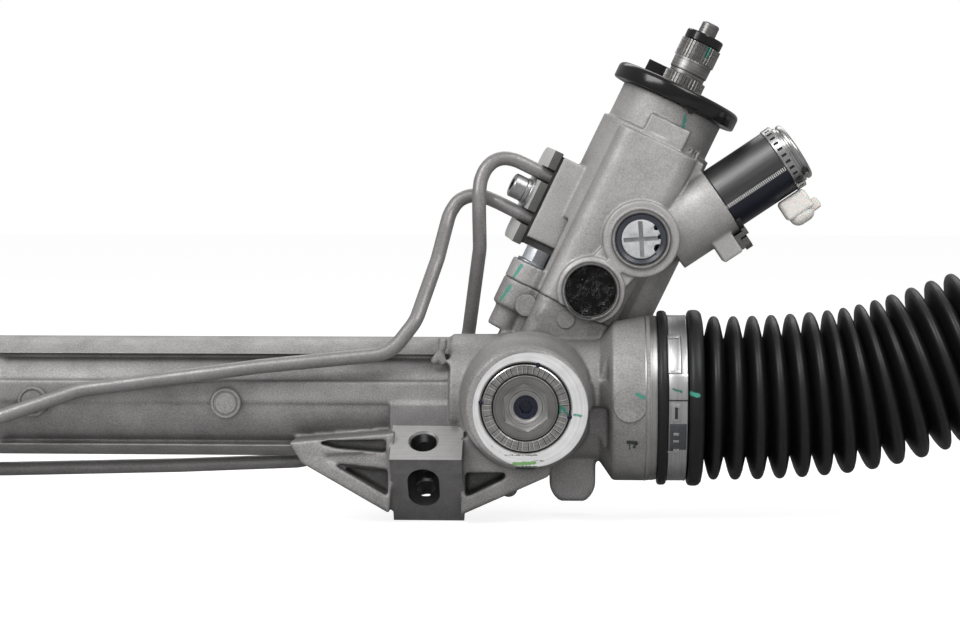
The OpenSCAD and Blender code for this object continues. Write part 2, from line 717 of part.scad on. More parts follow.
module end_retaining_ring() color(dark_steel) along_x(stop_left + 6)
    tube_ring(cyl_r - 1 + press, cyl_r - press, 0.1, 1.9);

// Tube swept along points, square to the path at each one, with flat ends
function unit(v) = v / norm(v);
function heading(p, i) = unit(p[min(i + 1, len(p) - 1)] - p[max(i - 1, 0)]);
function side_of(t) = unit(cross(t, abs(t[1]) < 0.8 ? [0, 1, 0] : [1, 0, 0]));
function ring_at(p, t, r, n) = let (s = side_of(t), u = cross(t, s))
    [for (k = [0:n - 1]) p + r * (cos(k * 360 / n) * s + sin(k * 360 / n) * u)];
module sweep(points, r, n) {
    count = len(points);
    verts = [for (i = [0:count - 1]) each ring_at(points[i], heading(points, i), r, n)];
    walls = [for (i = [0:count - 2]) for (k = [0:n - 1]) let (a = i * n + k, b = i * n + (k + 1) % n)
        each [[a, b, b + n], [a, b + n, a + n]]];
    last = (count - 1) * n;
    polyhedron(verts, concat([[for (k = [n - 1:-1:0]) k]], walls, [[for (k = [0:n - 1]) last + k]]));
}

// A rounded path: each inner point becomes an arc tangent to its two legs
function corner(p, i, r) = let (a = unit(p[i - 1] - p[i]), b = unit(p[i + 1] - p[i]),
    half = acos(a * b) / 2, d = r / tan(half), m = unit(a + b), c = p[i] + m * r / sin(half),
    from = p[i] + a * d, to = p[i] + b * d, n = max(2, ceil((180 - 2 * half) / 18)))
    [for (k = [0:n]) let (q = from + (to - from) * k / n) c + unit(q - c) * r];
function rounded(p, r) = concat([p[0]], [for (i = [1:len(p) - 2]) each corner(p, i, r)], [p[len(p) - 1]]);

// Both pipes leave the union plate square to it
function pad_point(x, t) = [tower_x - x * cos(tower_lean) + t * sin(tower_lean), tower_y,
    x * sin(tower_lean) + t * cos(tower_lean)];
module pipe_upper() color(steel) rack_frame() sweep(rounded(upper_route, 8), pipe_r, 10);
module pipe_lower() color(steel) rack_frame() sweep(rounded(lower_route, 8), pipe_r, 10);

module pipe_nuts() color(dark_steel) rack_frame() for (p = [front_boss, rear_boss]) translate(p)
    rotate([0, 90, 0]) difference() {
        union() {
            cut(6, -9, 0);
            translate([0, 0, 0.2]) cylinder(r = 7.2, h = nut_l - 3, $fn = 6);
            cut(5.4, nut_l - 3, nut_l);
        }
        cut(pipe_r + 0.2, 0, nut_l + 1);
    }

module union_plate() color(steel) tower() difference() {
    translate([-pad_x - union_t, -pad_depth / 2, pad_low - 1])
        cube([union_t - 0.1, pad_depth, pad_high - pad_low + 2]);
    for (t = [pipe_up, pipe_low]) {
        translate([0, 0, t]) rotate([0, -90, 0]) cut(pipe_r + 0.2, pad_x - 1, pad_x + 6);
        translate([-pad_x - 6, -pad_depth, t - pipe_r - 0.2]) cube([7, pad_depth, 2 * pipe_r + 0.4]);
    }
    translate([0, -1, union_bolt_t]) rotate([0, -90, 0]) cut(3.5, pad_x - 1, pad_x + 6);
}

module union_bolt() color(steel) tower() translate([0, -1, union_bolt_t]) rotate([0, -90, 0]) {
    cut(3 - press, 20, pad_x + union_t + 1);
    cut(6.4, pad_x + union_t, pad_x + union_t + 1.4);
    difference() {
        cut(5, pad_x + union_t + 1.4 - e, pad_x + union_t + 7.4);
        translate([0, 0, pad_x + union_t + 4]) cylinder(r = 3, h = 5, $fn = 6);
    }
}

module port_plug(x, t, cross_w) at_port(x, t) difference() {
    union() {
        cut(port_r - 0.1, port_face - 7, port_face - 2.2);
        cut(3.6, port_face - 13.8, port_face - 6);
    }
    for (a = [0, 90]) rotate(a) translate([-port_r + 2.2, -cross_w / 2, port_face - 3.6])
        cube([2 * port_r - 4.4, cross_w, 3]);
}
module port_plug_upper() color("gainsboro") port_plug(port_up_x, port_up, 1.8);
module port_plug_lower() color("#111111") port_plug(port_low_x, port_low, 1.4);

module solenoid_can() color(dark_steel) solenoid() {
    cut(can_d / 2, 0.1, can_l - crimp_l);
    cut(can_d / 2 + 0.5, can_l - crimp_l - e, can_l);
    cut(7.9, -26, 0.2);
}
module solenoid_cap() color("gainsboro") solenoid() {
    cut(can_d / 2 - 1.2, can_l, can_l + can_cap_l - 1.5);
    translate([0, 0, can_l + can_cap_l - 1.5 - e])
        cylinder(r1 = can_d / 2 - 1.2, r2 = can_d / 2 - 2.7, h = 1.5);
}
module solenoid_connector() color("linen") solenoid() translate([can_d / 2 + 0.5 + press, 0, can_l - 8.5])
    rotate([0, 90, 0]) difference() {
        union() {
            translate([-6.5, -5.5, 0]) cube([13, 11, 9]);
            translate([-5.5, -4.6, 8]) cube([11, 9.2, 5]);
            translate([-9, -2, 6]) cube([4, 4, 5]);
        }
        translate([-4.2, -3.3, 7]) cube([8.4, 6.6, 8]);
    }
module solenoid_clamp() color(steel) solenoid() {
    translate([boss_r + press, -8, -4 + press]) cube([6.5, 16, 2]);
    difference() {
        tube_ring(can_d / 2 + 0.1, can_d / 2 + 1.6, 0.2, 2.2);
        translate([-30, -30, 0]) cube([40, 60, 5]);
    }
    translate([boss_r + press, -8, -3]) cube([2, 16, 5.2]);
    translate([can_d / 2 + 0.5, -8, 0.2]) cube([2, 16, 2]);
    translate([clamp_screw_x, 0, -2.1]) cylinder(r = 3.4, h = 3.2, $fn = 6);
    translate([clamp_screw_x, 0, -2.1]) cut(1.9, -8, 0.2);
}

// One fold of the bellows: where along its pitch, and how far out
function fold_rows(r0, r1) = [for (i = [0:folds - 1]) for (f = fold_shape)
    [folds_start + (i + f[0]) * fold_pitch, r0 + (r1 - r0) * f[1]]];
function outer_rows() = concat([[folds_start - 2, valley_r + 1]], fold_rows(valley_r, crest_r),
    [[folds_start + folds_l, valley_r - 2], [folds_start + folds_l + 5, groove_r + 3]],
    [[bellows_l, groove_r + 3]]);
function inner_rows() = concat([[folds_start - 2, valley_r + 1 - rubber_t]],
    fold_rows(valley_r - rubber_t, crest_r - rubber_t),
    [[folds_start + folds_l, valley_r - 2 - rubber_t], [folds_start + folds_l + 5, small_inner_r]],
    [[bellows_l, small_inner_r]]);
module bellows_cuff() {
    tube_ring(neck_d / 2 + press, lip_r, bellows_start, bellows_start + lip_w);
    tube_ring(neck_d / 2 + press, band_r, bellows_start, bead_start);
    tube_ring(bead_r + press, band_r, bead_start - e, neck_l + 0.5);
    tube_ring(bead_r + press, ring_r, folds_start - ring_w, folds_start - 1.4);
    tube_ring(valley_r - 0.2, ring_r - 1, folds_start - 2, folds_start);
}
module bellows_left() color(rubber) along_x(end_left) mirror([0, 0, 1]) union() {
    bellows_cuff();
    rotate_extrude() polygon([for (p = concat(outer_rows(), [for (i = [len(inner_rows()) - 1:-1:0])
        inner_rows()[i]])) [p[1], p[0]]]);
}

// Lean of the right bellows' centre line at distance s from the housing's end
function lean_at(s) = s < bend_from ? 0 : s < bend_mid ? mid_lean * (s - bend_from) / (bend_mid - bend_from)
    : s < bend_to ? mid_lean + (rod_lean - mid_lean) * (s - bend_mid) / (bend_to - bend_mid) : rod_lean;
function centre_line(s, step = 2) = [for (k = 0, x = 0, z = 0; k <= ceil(s / step);
    x = x + min(step, max(0, s - k * step)) * cos(lean_at((k + 0.5) * step)),
    z = z + min(step, max(0, s - k * step)) * sin(lean_at((k + 0.5) * step)), k = k + 1) [x, z]];
function centre_at(s) = let (c = centre_line(s)) c[len(c) - 1];
// The folds' centre line is a little off the tie rod's, and meets it at the small end
function off_axis(s) = s < bend_to ? 0 : (rod_at_end - end_centre[1]) * min(1, (s - bend_to) / 60);
function bent_ring(s, r) = let (c = centre_at(s), a = lean_at(s), z = c[1] + off_axis(s))
    [for (k = [0:sides - 1]) let (h = r * cos(k * 360 / sides), w = r * sin(k * 360 / sides))
    [c[0] - h * sin(a), w, z + h * cos(a)]];
module bellows_right() color(rubber) union() {
    along_x(end_right) bellows_cuff();
    rack_frame() translate([end_right, 0, 0]) bent_shell();
}
module bent_shell() {
    outer = outer_rows();
    inner = inner_rows();
    rows = concat(outer, [for (i = [len(inner) - 1:-1:0]) inner[i]]);
    n = len(rows);
    verts = [for (r = rows) each bent_ring(r[0], r[1])];
    polyhedron(verts, [for (i = [0:n - 1]) for (k = [0:sides - 1])
        let (a = i * sides + k, b = i * sides + (k + 1) % sides, c = ((i + 1) % n) * sides + k,
        d = ((i + 1) % n) * sides + (k + 1) % sides) each [[a, b, d], [a, d, c]]]);
}

module large_clamp() {
    tube_ring(band_r + press, band_r + clamp_t, neck_l - clamp_w - 1.2, neck_l - 1.2);
    rotate(-8) translate([-3, -band_r - clamp_t - 1.6, neck_l - clamp_w - 0.8])
        cube([6, 2, clamp_w - 0.8]);
}
module large_clamp_right() color(steel) along_x(end_right) large_clamp();
module large_clamp_left() color(steel) along_x(end_left) mirror([0, 0, 1]) large_clamp();

// Gap left in the pinion by the rack's teeth as the two roll together
module cutter_tooth() {
    low = -tooth_ded;
    high = tooth_add + tip_gap;
    function half(h) = pitch_t / 4 - h * flank + backlash / 2;
    translate([0, -pitch_r - pinion_shift]) polygon([[-half(low), low], [half(low), low],
        [half(high), high], [-half(high), high]]);
}
module pinion_section() difference() {
    circle(r = pinion_r, $fn = 42);
    for (i = [0:teeth - 1]) rotate(i * 360 / teeth) for (a = [-40:10:40])
        rotate(-a) translate([pitch_r * a * PI / 180, 0]) cutter_tooth();
}
module pinion() color(steel) tower() difference() {
    union() {
        translate([0, 0, -pinion_face / 2]) rotate(twist_per_mm * pinion_face / 2)
            linear_extrude(pinion_face, twist = twist_per_mm * pinion_face, slices = 9) pinion_section();
        cut(journal_d / 2, needle_low + 0.3, -pinion_face / 2);
        cut(pinion_core, -pinion_face / 2 - e, pinion_face / 2 + e);
        cut(9.6, pinion_face / 2, ball_brg_low);
        cut(head_d / 2, pinion_face / 2, pinion_top);
    }
    cut(torsion_d / 2 + press, 24, pinion_top + 1);
}

module valve_sleeve() color(steel) tower() difference() {
    tube_ring(shaft_d / 2 + rack_fit, valve_bore_r, sleeve_low, sleeve_top);
    for (t = ring_heights) tube_ring(valve_bore_r - 1.2, valve_bore_r + 1, t, t + 2);
    for (t = [60.5, 72.5, 84.5]) tube_ring(valve_bore_r - 1.6, valve_bore_r + 1, t, t + 4);
    for (a = [0:60:300], t = [62.5, 74.5, 86.5]) rotate(a) translate([0, 0, t]) rotate([90, 0, 0])
        cut(1.2, 5, 20);
}
module sleeve_rings() color("saddlebrown") tower() for (t = ring_heights)
    tube_ring(valve_bore_r - 1.2 + press, valve_bore_r + press, t + 0.1, t + 1.9);

module torsion_bar() color(dark_steel) tower() cut(torsion_d / 2, 24.2, shaft_top - 10);

module input_shaft() color(steel) tower() difference() {
    union() {
        cut(shaft_d / 2, spool_low, band_low);
        cut(band_d / 2, band_low - e, band_low + band_l);
        cut(neck_in_r, band_low + band_l - e, collar_low);
        cut(spline_d / 2 - 0.45, collar_low - e, spline_low);
        cut(spline_d / 2, spline_low, spline_low + spline_l);
        cut(ring_in_r, spline_low + spline_l - e, ring_top);
        cut(stub_r, ring_top - e, shaft_top);
    }
    cut(torsion_d / 2 + 0.1, spool_low - 1, shaft_top - 9.8);
    for (i = [0:splines - 1]) rotate(i * 360 / splines) translate([0, 0, band_low]) {
        translate([spline_d / 2 - 0.5, -0.15, spline_low - band_low - 0.2]) cube([1, 0.3, spline_l + 1]);
        translate([band_d / 2 - 0.5, -0.18, -0.5]) cube([1, 0.36, band_l + 1]);
    }
    translate([0, 0, shaft_top - 1]) cube([9, 1.2, 4], center = true);
}
module shaft_ring() color(rubber) tower()
    tube_ring(ring_in_r + press, ring_out_r, spline_low + spline_l + 0.1, ring_top);

// Gap between two rack teeth, square across the rack
module rack_gap() {
    low = -tooth_ded;
    high = tooth_add + 1;
    function half(h) = pitch_x / 4 + h * tan(pressure_angle);
    polygon([[-half(low), low], [half(low), low], [half(high), high], [-half(high), high]]);
}
module rack_bar() color(steel) difference() {
    along_x(0) cut(rack_r, face_left - 16, face_right + 16);
    rack_frame() translate([tower_x - (first_gap + 0.5) * pitch_x - 2, rack_line + tooth_add, -rack_r])
        cube([(2 * first_gap + 1) * pitch_x + 4, rack_r, rack_d]);
    for (i = [-first_gap:first_gap]) rack_frame()
        translate([tower_x + (i + 0.5) * pitch_x, rack_line, -rack_r])
        linear_extrude(rack_d) rack_gap();
}

module piston() color(dark_steel) along_x(piston_x) difference() {
    tube_ring(rack_r + press, cyl_r - rack_fit, -piston_l / 2, piston_l / 2);
    tube_ring(cyl_r - 2.2, cyl_r + 1, -2, 2);
}
module piston_ring() color("saddlebrown") along_x(piston_x)
    tube_ring(cyl_r - 2.2 + press, cyl_r - 0.02, -1.9, 1.9);

// Ball joint. z runs from the rack out along the tie rod
module joint_housing() difference() {
    r_out = ball_d / 2 + seat_t;
    union() {
        cut(joint_d / 2, -joint_back, r_out * cos(opening_a));
        translate([0, 0, r_out * cos(opening_a) - e])
            cylinder(r1 = joint_d / 2, r2 = joint_d / 2 - 2, h = 1.5);
    }
    sphere(r = r_out + rack_fit);
    cylinder(r1 = 0, r2 = 40 * tan(opening_a), h = 40);
    cut(rack_r + press, -joint_back - 1, -joint_back + 16);
    for (s = [-1, 1]) translate([s * (joint_d / 2 + 3.5), 0, -joint_back + 7]) cube([10, 40, 12], center = true);
}
module joint_housing_right() color(dark_steel) right_joint() joint_housing();
module joint_housing_left() color(dark_steel) left_joint() joint_housing();

module ball_seat() difference() {
    sphere(r = ball_d / 2 + seat_t);
    sphere(r = ball_d / 2 + rack_fit);
    cylinder(r1 = 0, r2 = 40 * tan(opening_a - 3), h = 40);
}
module ball_seat_right() color("linen") right_joint() ball_seat();
module ball_seat_left() color("linen") left_joint() ball_seat();

module tie_rod() difference() {
    union() {
        sphere(d = ball_d);
        cut(rod_neck_r, 0, 30);
        translate([0, 0, 30 - e]) cylinder(r1 = rod_neck_r, r2 = rod_d / 2, h = 8 + 2 * e);
        cut(rod_d / 2, 38, rod_l - thread_l);
        cut(thread_d / 2, rod_l - thread_l - e, rod_l - 1);
        translate([0, 0, rod_l - 1]) cylinder(r1 = thread_d / 2, r2 = thread_d / 2 - 1, h = 1);
    }
    for (s = [-1, 1]) translate([s * (rod_d / 2 + 3.9), 0, rod_l - thread_l - 12]) cube([10, 40, 14], center = true);
    tube_ring(thread_d / 2 - mark_depth, thread_d / 2 + 1, nut_at + jam_nut_h + 0.5, nut_at + jam_nut_h + 1.5);
}
module tie_rod_right() color(steel) right_rod() tie_rod();
module tie_rod_left() color(steel) left_joint() tie_rod();

module jam_nut() translate([0, 0, nut_at]) difference() {
    cylinder(d = jam_nut_af / cos(30), h = jam_nut_h, $fn = 6);
    cut(thread_d / 2 + press, -1, jam_nut_h + 1);
}
module jam_nut_right() color(steel) right_rod() jam_nut();
module jam_nut_left() color(steel) left_joint() jam_nut();

module small_clamp(z) {
    tube_ring(groove_r + 3.05, groove_r + 3.05 + clamp_t, z - 7, z - 2);
    translate([-2.5, -groove_r - 3.05 - clamp_t - 1.4, z - 7]) cube([5, 1.6, 5]);
}
module small_clamp_right() color(steel) right_rod() small_clamp(small_end_right);
module small_clamp_left() color(steel) left_joint() small_clamp(small_end_left);

rack_housing();
valve_housing();
flange_bolts();
flange_o_ring();
pinion_ball_bearing();
pinion_needle_bearing();
pinion_seal();
pinion_cap();
shaft_needle_bearing();
shaft_seal();
dust_cap();
support_yoke();
yoke_o_ring();
yoke_spring();
yoke_adjuster();
yoke_lock_ring();
adjuster_screw();
rack_bush();
inner_rack_seal();
cylinder_end_bush();
end_retaining_ring();
pipe_upper();
pipe_lower();
pipe_nuts();
union_plate();
union_bolt();
port_plug_upper();
port_plug_lower();
solenoid_can();
solenoid_cap();
solenoid_connector();
solenoid_clamp();
bellows_right();
bellows_left();
large_clamp_right();
large_clamp_left();
pinion();
valve_sleeve();
sleeve_rings();
torsion_bar();
input_shaft();
shaft_ring();
rack_bar();
piston();
piston_ring();
joint_housing_right();
joint_housing_left();
ball_seat_right();
ball_seat_left();
tie_rod_right();
tie_rod_left();
jam_nut_right();
jam_nut_left();
small_clamp_right();
small_clamp_left();
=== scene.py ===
import json
import math

import bmesh
import bpy
from mathutils import Matrix, Vector


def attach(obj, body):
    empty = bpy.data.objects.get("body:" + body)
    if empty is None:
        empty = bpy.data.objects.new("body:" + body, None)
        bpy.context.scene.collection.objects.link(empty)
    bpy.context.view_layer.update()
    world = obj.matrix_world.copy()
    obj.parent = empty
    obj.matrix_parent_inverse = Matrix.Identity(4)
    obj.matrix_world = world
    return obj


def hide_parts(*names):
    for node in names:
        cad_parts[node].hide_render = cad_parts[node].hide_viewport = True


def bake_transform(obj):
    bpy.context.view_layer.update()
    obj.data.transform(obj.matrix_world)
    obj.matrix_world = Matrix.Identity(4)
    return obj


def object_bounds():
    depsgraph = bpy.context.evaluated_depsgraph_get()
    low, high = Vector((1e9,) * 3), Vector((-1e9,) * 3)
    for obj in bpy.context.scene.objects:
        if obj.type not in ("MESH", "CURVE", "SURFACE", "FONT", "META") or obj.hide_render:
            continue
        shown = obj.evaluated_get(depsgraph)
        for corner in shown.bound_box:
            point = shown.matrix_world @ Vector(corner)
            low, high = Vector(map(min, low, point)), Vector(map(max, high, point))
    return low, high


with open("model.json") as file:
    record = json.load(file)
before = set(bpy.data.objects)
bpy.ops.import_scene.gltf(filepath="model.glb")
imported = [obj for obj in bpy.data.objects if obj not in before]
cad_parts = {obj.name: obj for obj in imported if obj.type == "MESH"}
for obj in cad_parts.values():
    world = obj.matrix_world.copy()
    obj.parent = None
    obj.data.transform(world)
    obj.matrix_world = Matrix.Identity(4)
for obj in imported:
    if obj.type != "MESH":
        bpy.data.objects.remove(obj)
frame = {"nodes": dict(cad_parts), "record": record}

cad_box = [[float(v) for v in corner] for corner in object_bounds()]

# Places, in millimetres. The rack axis, level with the support yoke, is where most of them start.
MM = 0.001
RACK = Vector((42, 29.3, 17.8))
TOWER_LEAN = 25.8
TOWER_Y = 16.994
BOLT_LEAN = 35.6
BOLT_SPAN = 352
CAN_RISE = 33.7
CAN_AT = Vector((79.8, 6, 82.5))
END_RIGHT = 53.3
END_LEFT = -481.3
BALL_RIGHT = 132
ROD_LEAN = 20


def turn(degrees, axis):
    return Matrix.Rotation(math.radians(degrees), 4, axis)


def at(x, y, z):
    return Matrix.Translation(Vector((x, y, z)))


RACK_FRAME = Matrix.Translation(RACK)
TOWER = RACK_FRAME @ at(0.7, TOWER_Y, 0) @ turn(TOWER_LEAN, "Y")
FRONT = RACK_FRAME @ turn(90, "X")
SOLENOID = RACK_FRAME @ Matrix.Translation(CAN_AT) @ turn(90 - CAN_RISE, "Y")
RIGHT_END = RACK_FRAME @ at(END_RIGHT, 0, 0) @ turn(90, "Y")
LEFT_END = RACK_FRAME @ at(END_LEFT, 0, 0) @ turn(-90, "Y")


def block_frame(x):
    return at(x, 0, 0) @ turn(BOLT_LEAN, "X")


def port_frame(x, t):
    return TOWER @ at(x, 0, t) @ turn(90, "X")


# Shading: effects that several finishes share are node groups
def new_group(name, inputs, outputs):
    group = bpy.data.node_groups.new(name, "ShaderNodeTree")
    for label, kind, value in inputs:
        socket = group.interface.new_socket(label, in_out="INPUT", socket_type=kind)
        if value is not None:
            socket.default_value = value
    for label, kind in outputs:
        group.interface.new_socket(label, in_out="OUTPUT", socket_type=kind)
    return group, group.nodes.new("NodeGroupInput"), group.nodes.new("NodeGroupOutput")


FLOAT, VECTOR, COLOUR = "NodeSocketFloat", "NodeSocketVector", "NodeSocketColor"


def wire(tree, source, target):
    tree.links.new(source, target)


def maths(tree, operation, a, b=None, c=None):
    node = tree.nodes.new("ShaderNodeMath")
    node.operation = operation
    for socket, value in zip(node.inputs, (a, b, c)):
        if value is None:
            continue
        if isinstance(value, (int, float)):
            socket.default_value = value
        else:
            wire(tree, value, socket)
    return node.outputs[0]


def noise(tree, vector, scale, detail=3.0, roughness=0.5):
    node = tree.nodes.new("ShaderNodeTexNoise")
    node.inputs["Detail"].default_value = detail
    node.inputs["Roughness"].default_value = roughness
    wire(tree, vector, node.inputs["Vector"])
    if isinstance(scale, (int, float)):
        node.inputs["Scale"].default_value = scale
    else:
        wire(tree, scale, node.inputs["Scale"])
    return node.outputs["Fac"]


def ranged(tree, value, low, high, to_low=0.0, to_high=1.0):
    node = tree.nodes.new("ShaderNodeMapRange")
    for socket, number in zip(list(node.inputs)[1:5], (low, high, to_low, to_high)):
        socket.default_value = number
    wire(tree, value, node.inputs[0])
    return node.outputs[0]


def blend_colour(tree, mask, a, b):
    node = tree.nodes.new("ShaderNodeMix")
    node.data_type = "RGBA"
    for socket, value in ((node.inputs[6], a), (node.inputs[7], b)):
        if isinstance(value, tuple):
            socket.default_value = (*value, 1)
        else:
            wire(tree, value, socket)
    wire(tree, mask, node.inputs[0])
    return node.outputs[2]


def make_skin_group():
    """Sand-cast or coated skin: grain for the bump, and a slow mottling of its tone."""
    group, inp, out = new_group("surface_skin", [
        ("Vector", VECTOR, None), ("Grain Scale", FLOAT, 1800.0), ("Mottle Scale", FLOAT, 90.0),
        ("Dark", COLOUR, (0.3, 0.3, 0.3, 1)), ("Light", COLOUR, (0.5, 0.5, 0.5, 1))],
        [("Color", COLOUR), ("Height", FLOAT), ("Mask", FLOAT)])
    vector = inp.outputs["Vector"]
    grain = noise(group, vector, inp.outputs["Grain Scale"], 4.0, 0.62)
    mottle = noise(group, vector, inp.outputs["Mottle Scale"], 3.0, 0.6)
    pits = ranged(group, noise(group, vector, 520.0, 2.0, 0.5), 0.26, 0.36)
    tone = maths(group, "ADD", maths(group, "MULTIPLY", grain, 0.6), maths(group, "MULTIPLY", mottle, 0.4))
    mask = maths(group, "MULTIPLY", ranged(group, tone, 0.34, 0.68),
        maths(group, "ADD", maths(group, "MULTIPLY", pits, 0.25), 0.75))
    wire(group, blend_colour(group, mask, inp.outputs["Dark"], inp.outputs["Light"]), out.inputs["Color"])
    wire(group, maths(group, "ADD", grain, maths(group, "MULTIPLY", pits, 0.5)), out.inputs["Height"])
    wire(group, mask, out.inputs["Mask"])
    return group


def make_turned_group():
    """Marks of a lathe around the Z axis of the vector: fine rings whose depth comes and goes."""
    group, inp, out = new_group("turned_marks", [
        ("Vector", VECTOR, None), ("Rings", FLOAT, 2600.0),
        ("Dark", COLOUR, (0.4, 0.4, 0.4, 1)), ("Light", COLOUR, (0.7, 0.7, 0.7, 1))],
        [("Color", COLOUR), ("Height", FLOAT)])
    apart = group.nodes.new("ShaderNodeSeparateXYZ")
    wire(group, inp.outputs["Vector"], apart.inputs[0])
    x, y, z = apart.outputs
    radius = maths(group, "SQRT", maths(group, "ADD", maths(group, "MULTIPLY", x, x), maths(group, "MULTIPLY", y, y)))
    joined = group.nodes.new("ShaderNodeCombineXYZ")
    wire(group, radius, joined.inputs[0])
    wire(group, z, joined.inputs[2])
    rings = noise(group, joined.outputs[0], inp.outputs["Rings"], 2.0, 0.6)
    slow = noise(group, inp.outputs["Vector"], 160.0, 2.0, 0.5)
    mask = ranged(group, maths(group, "ADD", maths(group, "MULTIPLY", rings, 0.7), maths(group, "MULTIPLY", slow, 0.4)),
        0.35, 0.72)
    wire(group, blend_colour(group, mask, inp.outputs["Dark"], inp.outputs["Light"]), out.inputs["Color"])
    wire(group, rings, out.inputs["Height"])
    return group


def vector_maths(tree, operation, a, b=None, factor=None):
    node = tree.nodes.new("ShaderNodeVectorMath")
    node.operation = operation
    for socket, value in zip(node.inputs, (a, b)):
        if isinstance(value, tuple):
            socket.default_value = value
        elif value is not None:
            wire(tree, value, socket)
    if factor is not None:
        wire(tree, factor, node.inputs["Scale"])
    return node.outputs["Value"] if operation in ("DOT_PRODUCT", "LENGTH") else node.outputs["Vector"]


def make_dab_group():
    """A stroke of inspection paint between two points: 1 inside, with a ragged edge."""
    group, inp, out = new_group("paint_dab", [
        ("Vector", VECTOR, None), ("From", VECTOR, None), ("To", VECTOR, None), ("Size", FLOAT, 0.001)],
        [("Mask", FLOAT)])
    away = vector_maths(group, "SUBTRACT", inp.outputs["Vector"], inp.outputs["From"])
    along = vector_maths(group, "SUBTRACT", inp.outputs["To"], inp.outputs["From"])
    share = maths(group, "DIVIDE", vector_maths(group, "DOT_PRODUCT", away, along),
        vector_maths(group, "DOT_PRODUCT", along, along))
    near = vector_maths(group, "SCALE", along, None, ranged(group, share, 0.0, 1.0))
    apart = vector_maths(group, "MULTIPLY", vector_maths(group, "SUBTRACT", away, near), (1.0, 0.3, 1.0))
    far = vector_maths(group, "LENGTH", apart)
    ragged = maths(group, "MULTIPLY", maths(group, "SUBTRACT", noise(group, inp.outputs["Vector"], 900.0, 4.0, 0.65),
        0.5), 0.0016)
    edge = maths(group, "SUBTRACT", inp.outputs["Size"], maths(group, "ADD", far, ragged))
    wire(group, ranged(group, edge, 0.0, 0.00035, 0.0, 0.88), out.inputs["Mask"])
    return group


def make_tick_group():
    """Radial chisel marks around the Z axis of the vector, unevenly spaced: each a dark line of painted shade beside a
    light line of painted highlight.
    """
    group, inp, out = new_group("radial_ticks", [
        ("Vector", VECTOR, None), ("Count", FLOAT, 46.0)], [("Dark", FLOAT), ("Light", FLOAT)])
    apart = group.nodes.new("ShaderNodeSeparateXYZ")
    wire(group, inp.outputs["Vector"], apart.inputs[0])
    angle = maths(group, "MULTIPLY", maths(group, "DIVIDE", maths(group, "ARCTAN2", apart.outputs[1], apart.outputs[0]),
        2 * math.pi), inp.outputs["Count"])
    cell = maths(group, "FLOOR", angle)
    chance = group.nodes.new("ShaderNodeTexWhiteNoise")
    chance.noise_dimensions = "1D"
    wire(group, cell, chance.inputs["W"])
    offset = maths(group, "SUBTRACT", maths(group, "SUBTRACT", angle, cell),
        ranged(group, chance.outputs["Value"], 0.0, 1.0, 0.25, 0.75))
    dark = ranged(group, maths(group, "ABSOLUTE", offset), 0.05, 0.1, 1.0, 0.0)
    light = ranged(group, maths(group, "ABSOLUTE", maths(group, "SUBTRACT", offset, 0.13)), 0.04, 0.08, 1.0, 0.0)
    wire(group, maths(group, "MULTIPLY", dark, ranged(group, chance.outputs["Value"], 0.1, 0.5, 0.35, 1.0)),
        out.inputs["Dark"])
    wire(group, maths(group, "MULTIPLY", light, ranged(group, chance.outputs["Value"], 0.9, 0.3, 0.2, 0.9)),
        out.inputs["Light"])
    return group


SKIN = make_skin_group()
TURNED = make_turned_group()
DAB = make_dab_group()
TICKS = make_tick_group()
TEAL = (0.04, 0.27, 0.2)
LEAF = (0.11, 0.3, 0.06)
SOOT = (0.012, 0.022, 0.008)


class Finish:
    """A material under construction: a Principled shader with Object coordinates ready."""

    def __init__(self, name, metallic=0.0, roughness=0.5, colour=(0.5, 0.5, 0.5), coat=0.0, **sockets):
        self.material = bpy.data.materials.new(name)
        self.material.use_nodes = True
        self.tree = self.material.node_tree
        self.shader = self.tree.nodes["Principled BSDF"]
        self.shader.inputs["Base Color"].default_value = (*colour, 1)
        self.shader.inputs["Metallic"].default_value = metallic
        self.shader.inputs["Roughness"].default_value = roughness
        self.shader.inputs["Coat Weight"].default_value = coat
        for label, value in sockets.items():
            self.shader.inputs[label.replace("_", " ")].default_value = value
        self.material.diffuse_color = (*colour, 1)
        self.vector = self.tree.nodes.new("ShaderNodeTexCoord").outputs["Object"]

    def mapped(self, place):
        """Object coordinates as seen from a frame in millimetres, still in metres."""
        node = self.tree.nodes.new("ShaderNodeMapping")
        node.vector_type = "TEXTURE"
        node.inputs["Location"].default_value = place.to_translation() * MM
        node.inputs["Rotation"].default_value = place.to_euler()
        wire(self.tree, self.vector, node.inputs["Vector"])
        return node.outputs[0]

    def group(self, group, vector, **values):
        node = self.tree.nodes.new("ShaderNodeGroup")
        node.node_tree = group
        wire(self.tree, vector, node.inputs["Vector"])
        for label, value in values.items():
            node.inputs[label.replace("_", " ")].default_value = value
        return node

    def bump(self, height, strength, distance):
        node = self.tree.nodes.new("ShaderNodeBump")
        node.inputs["Strength"].default_value = strength
        node.inputs["Distance"].default_value = distance
        wire(self.tree, height, node.inputs["Height"])
        wire(self.tree, node.outputs[0], self.shader.inputs["Normal"])

    def colour(self, source):
        wire(self.tree, source, self.shader.inputs["Base Color"])

    def roughness(self, value, low, high):
        wire(self.tree, ranged(self.tree, value, 0.0, 1.0, low, high), self.shader.inputs["Roughness"])

    def dabs(self, source, strokes):
        """Inspection marks over the colour: a frame, two points in it, half a width and a colour."""
        for place, start, end, size, colour in strokes:
            a, b = (place @ Vector(p) * MM for p in (start, end))
            node = self.group(DAB, self.vector, From=a, To=b, Size=size * MM)
            source = blend_colour(self.tree, node.outputs["Mask"], source, colour)
        return source


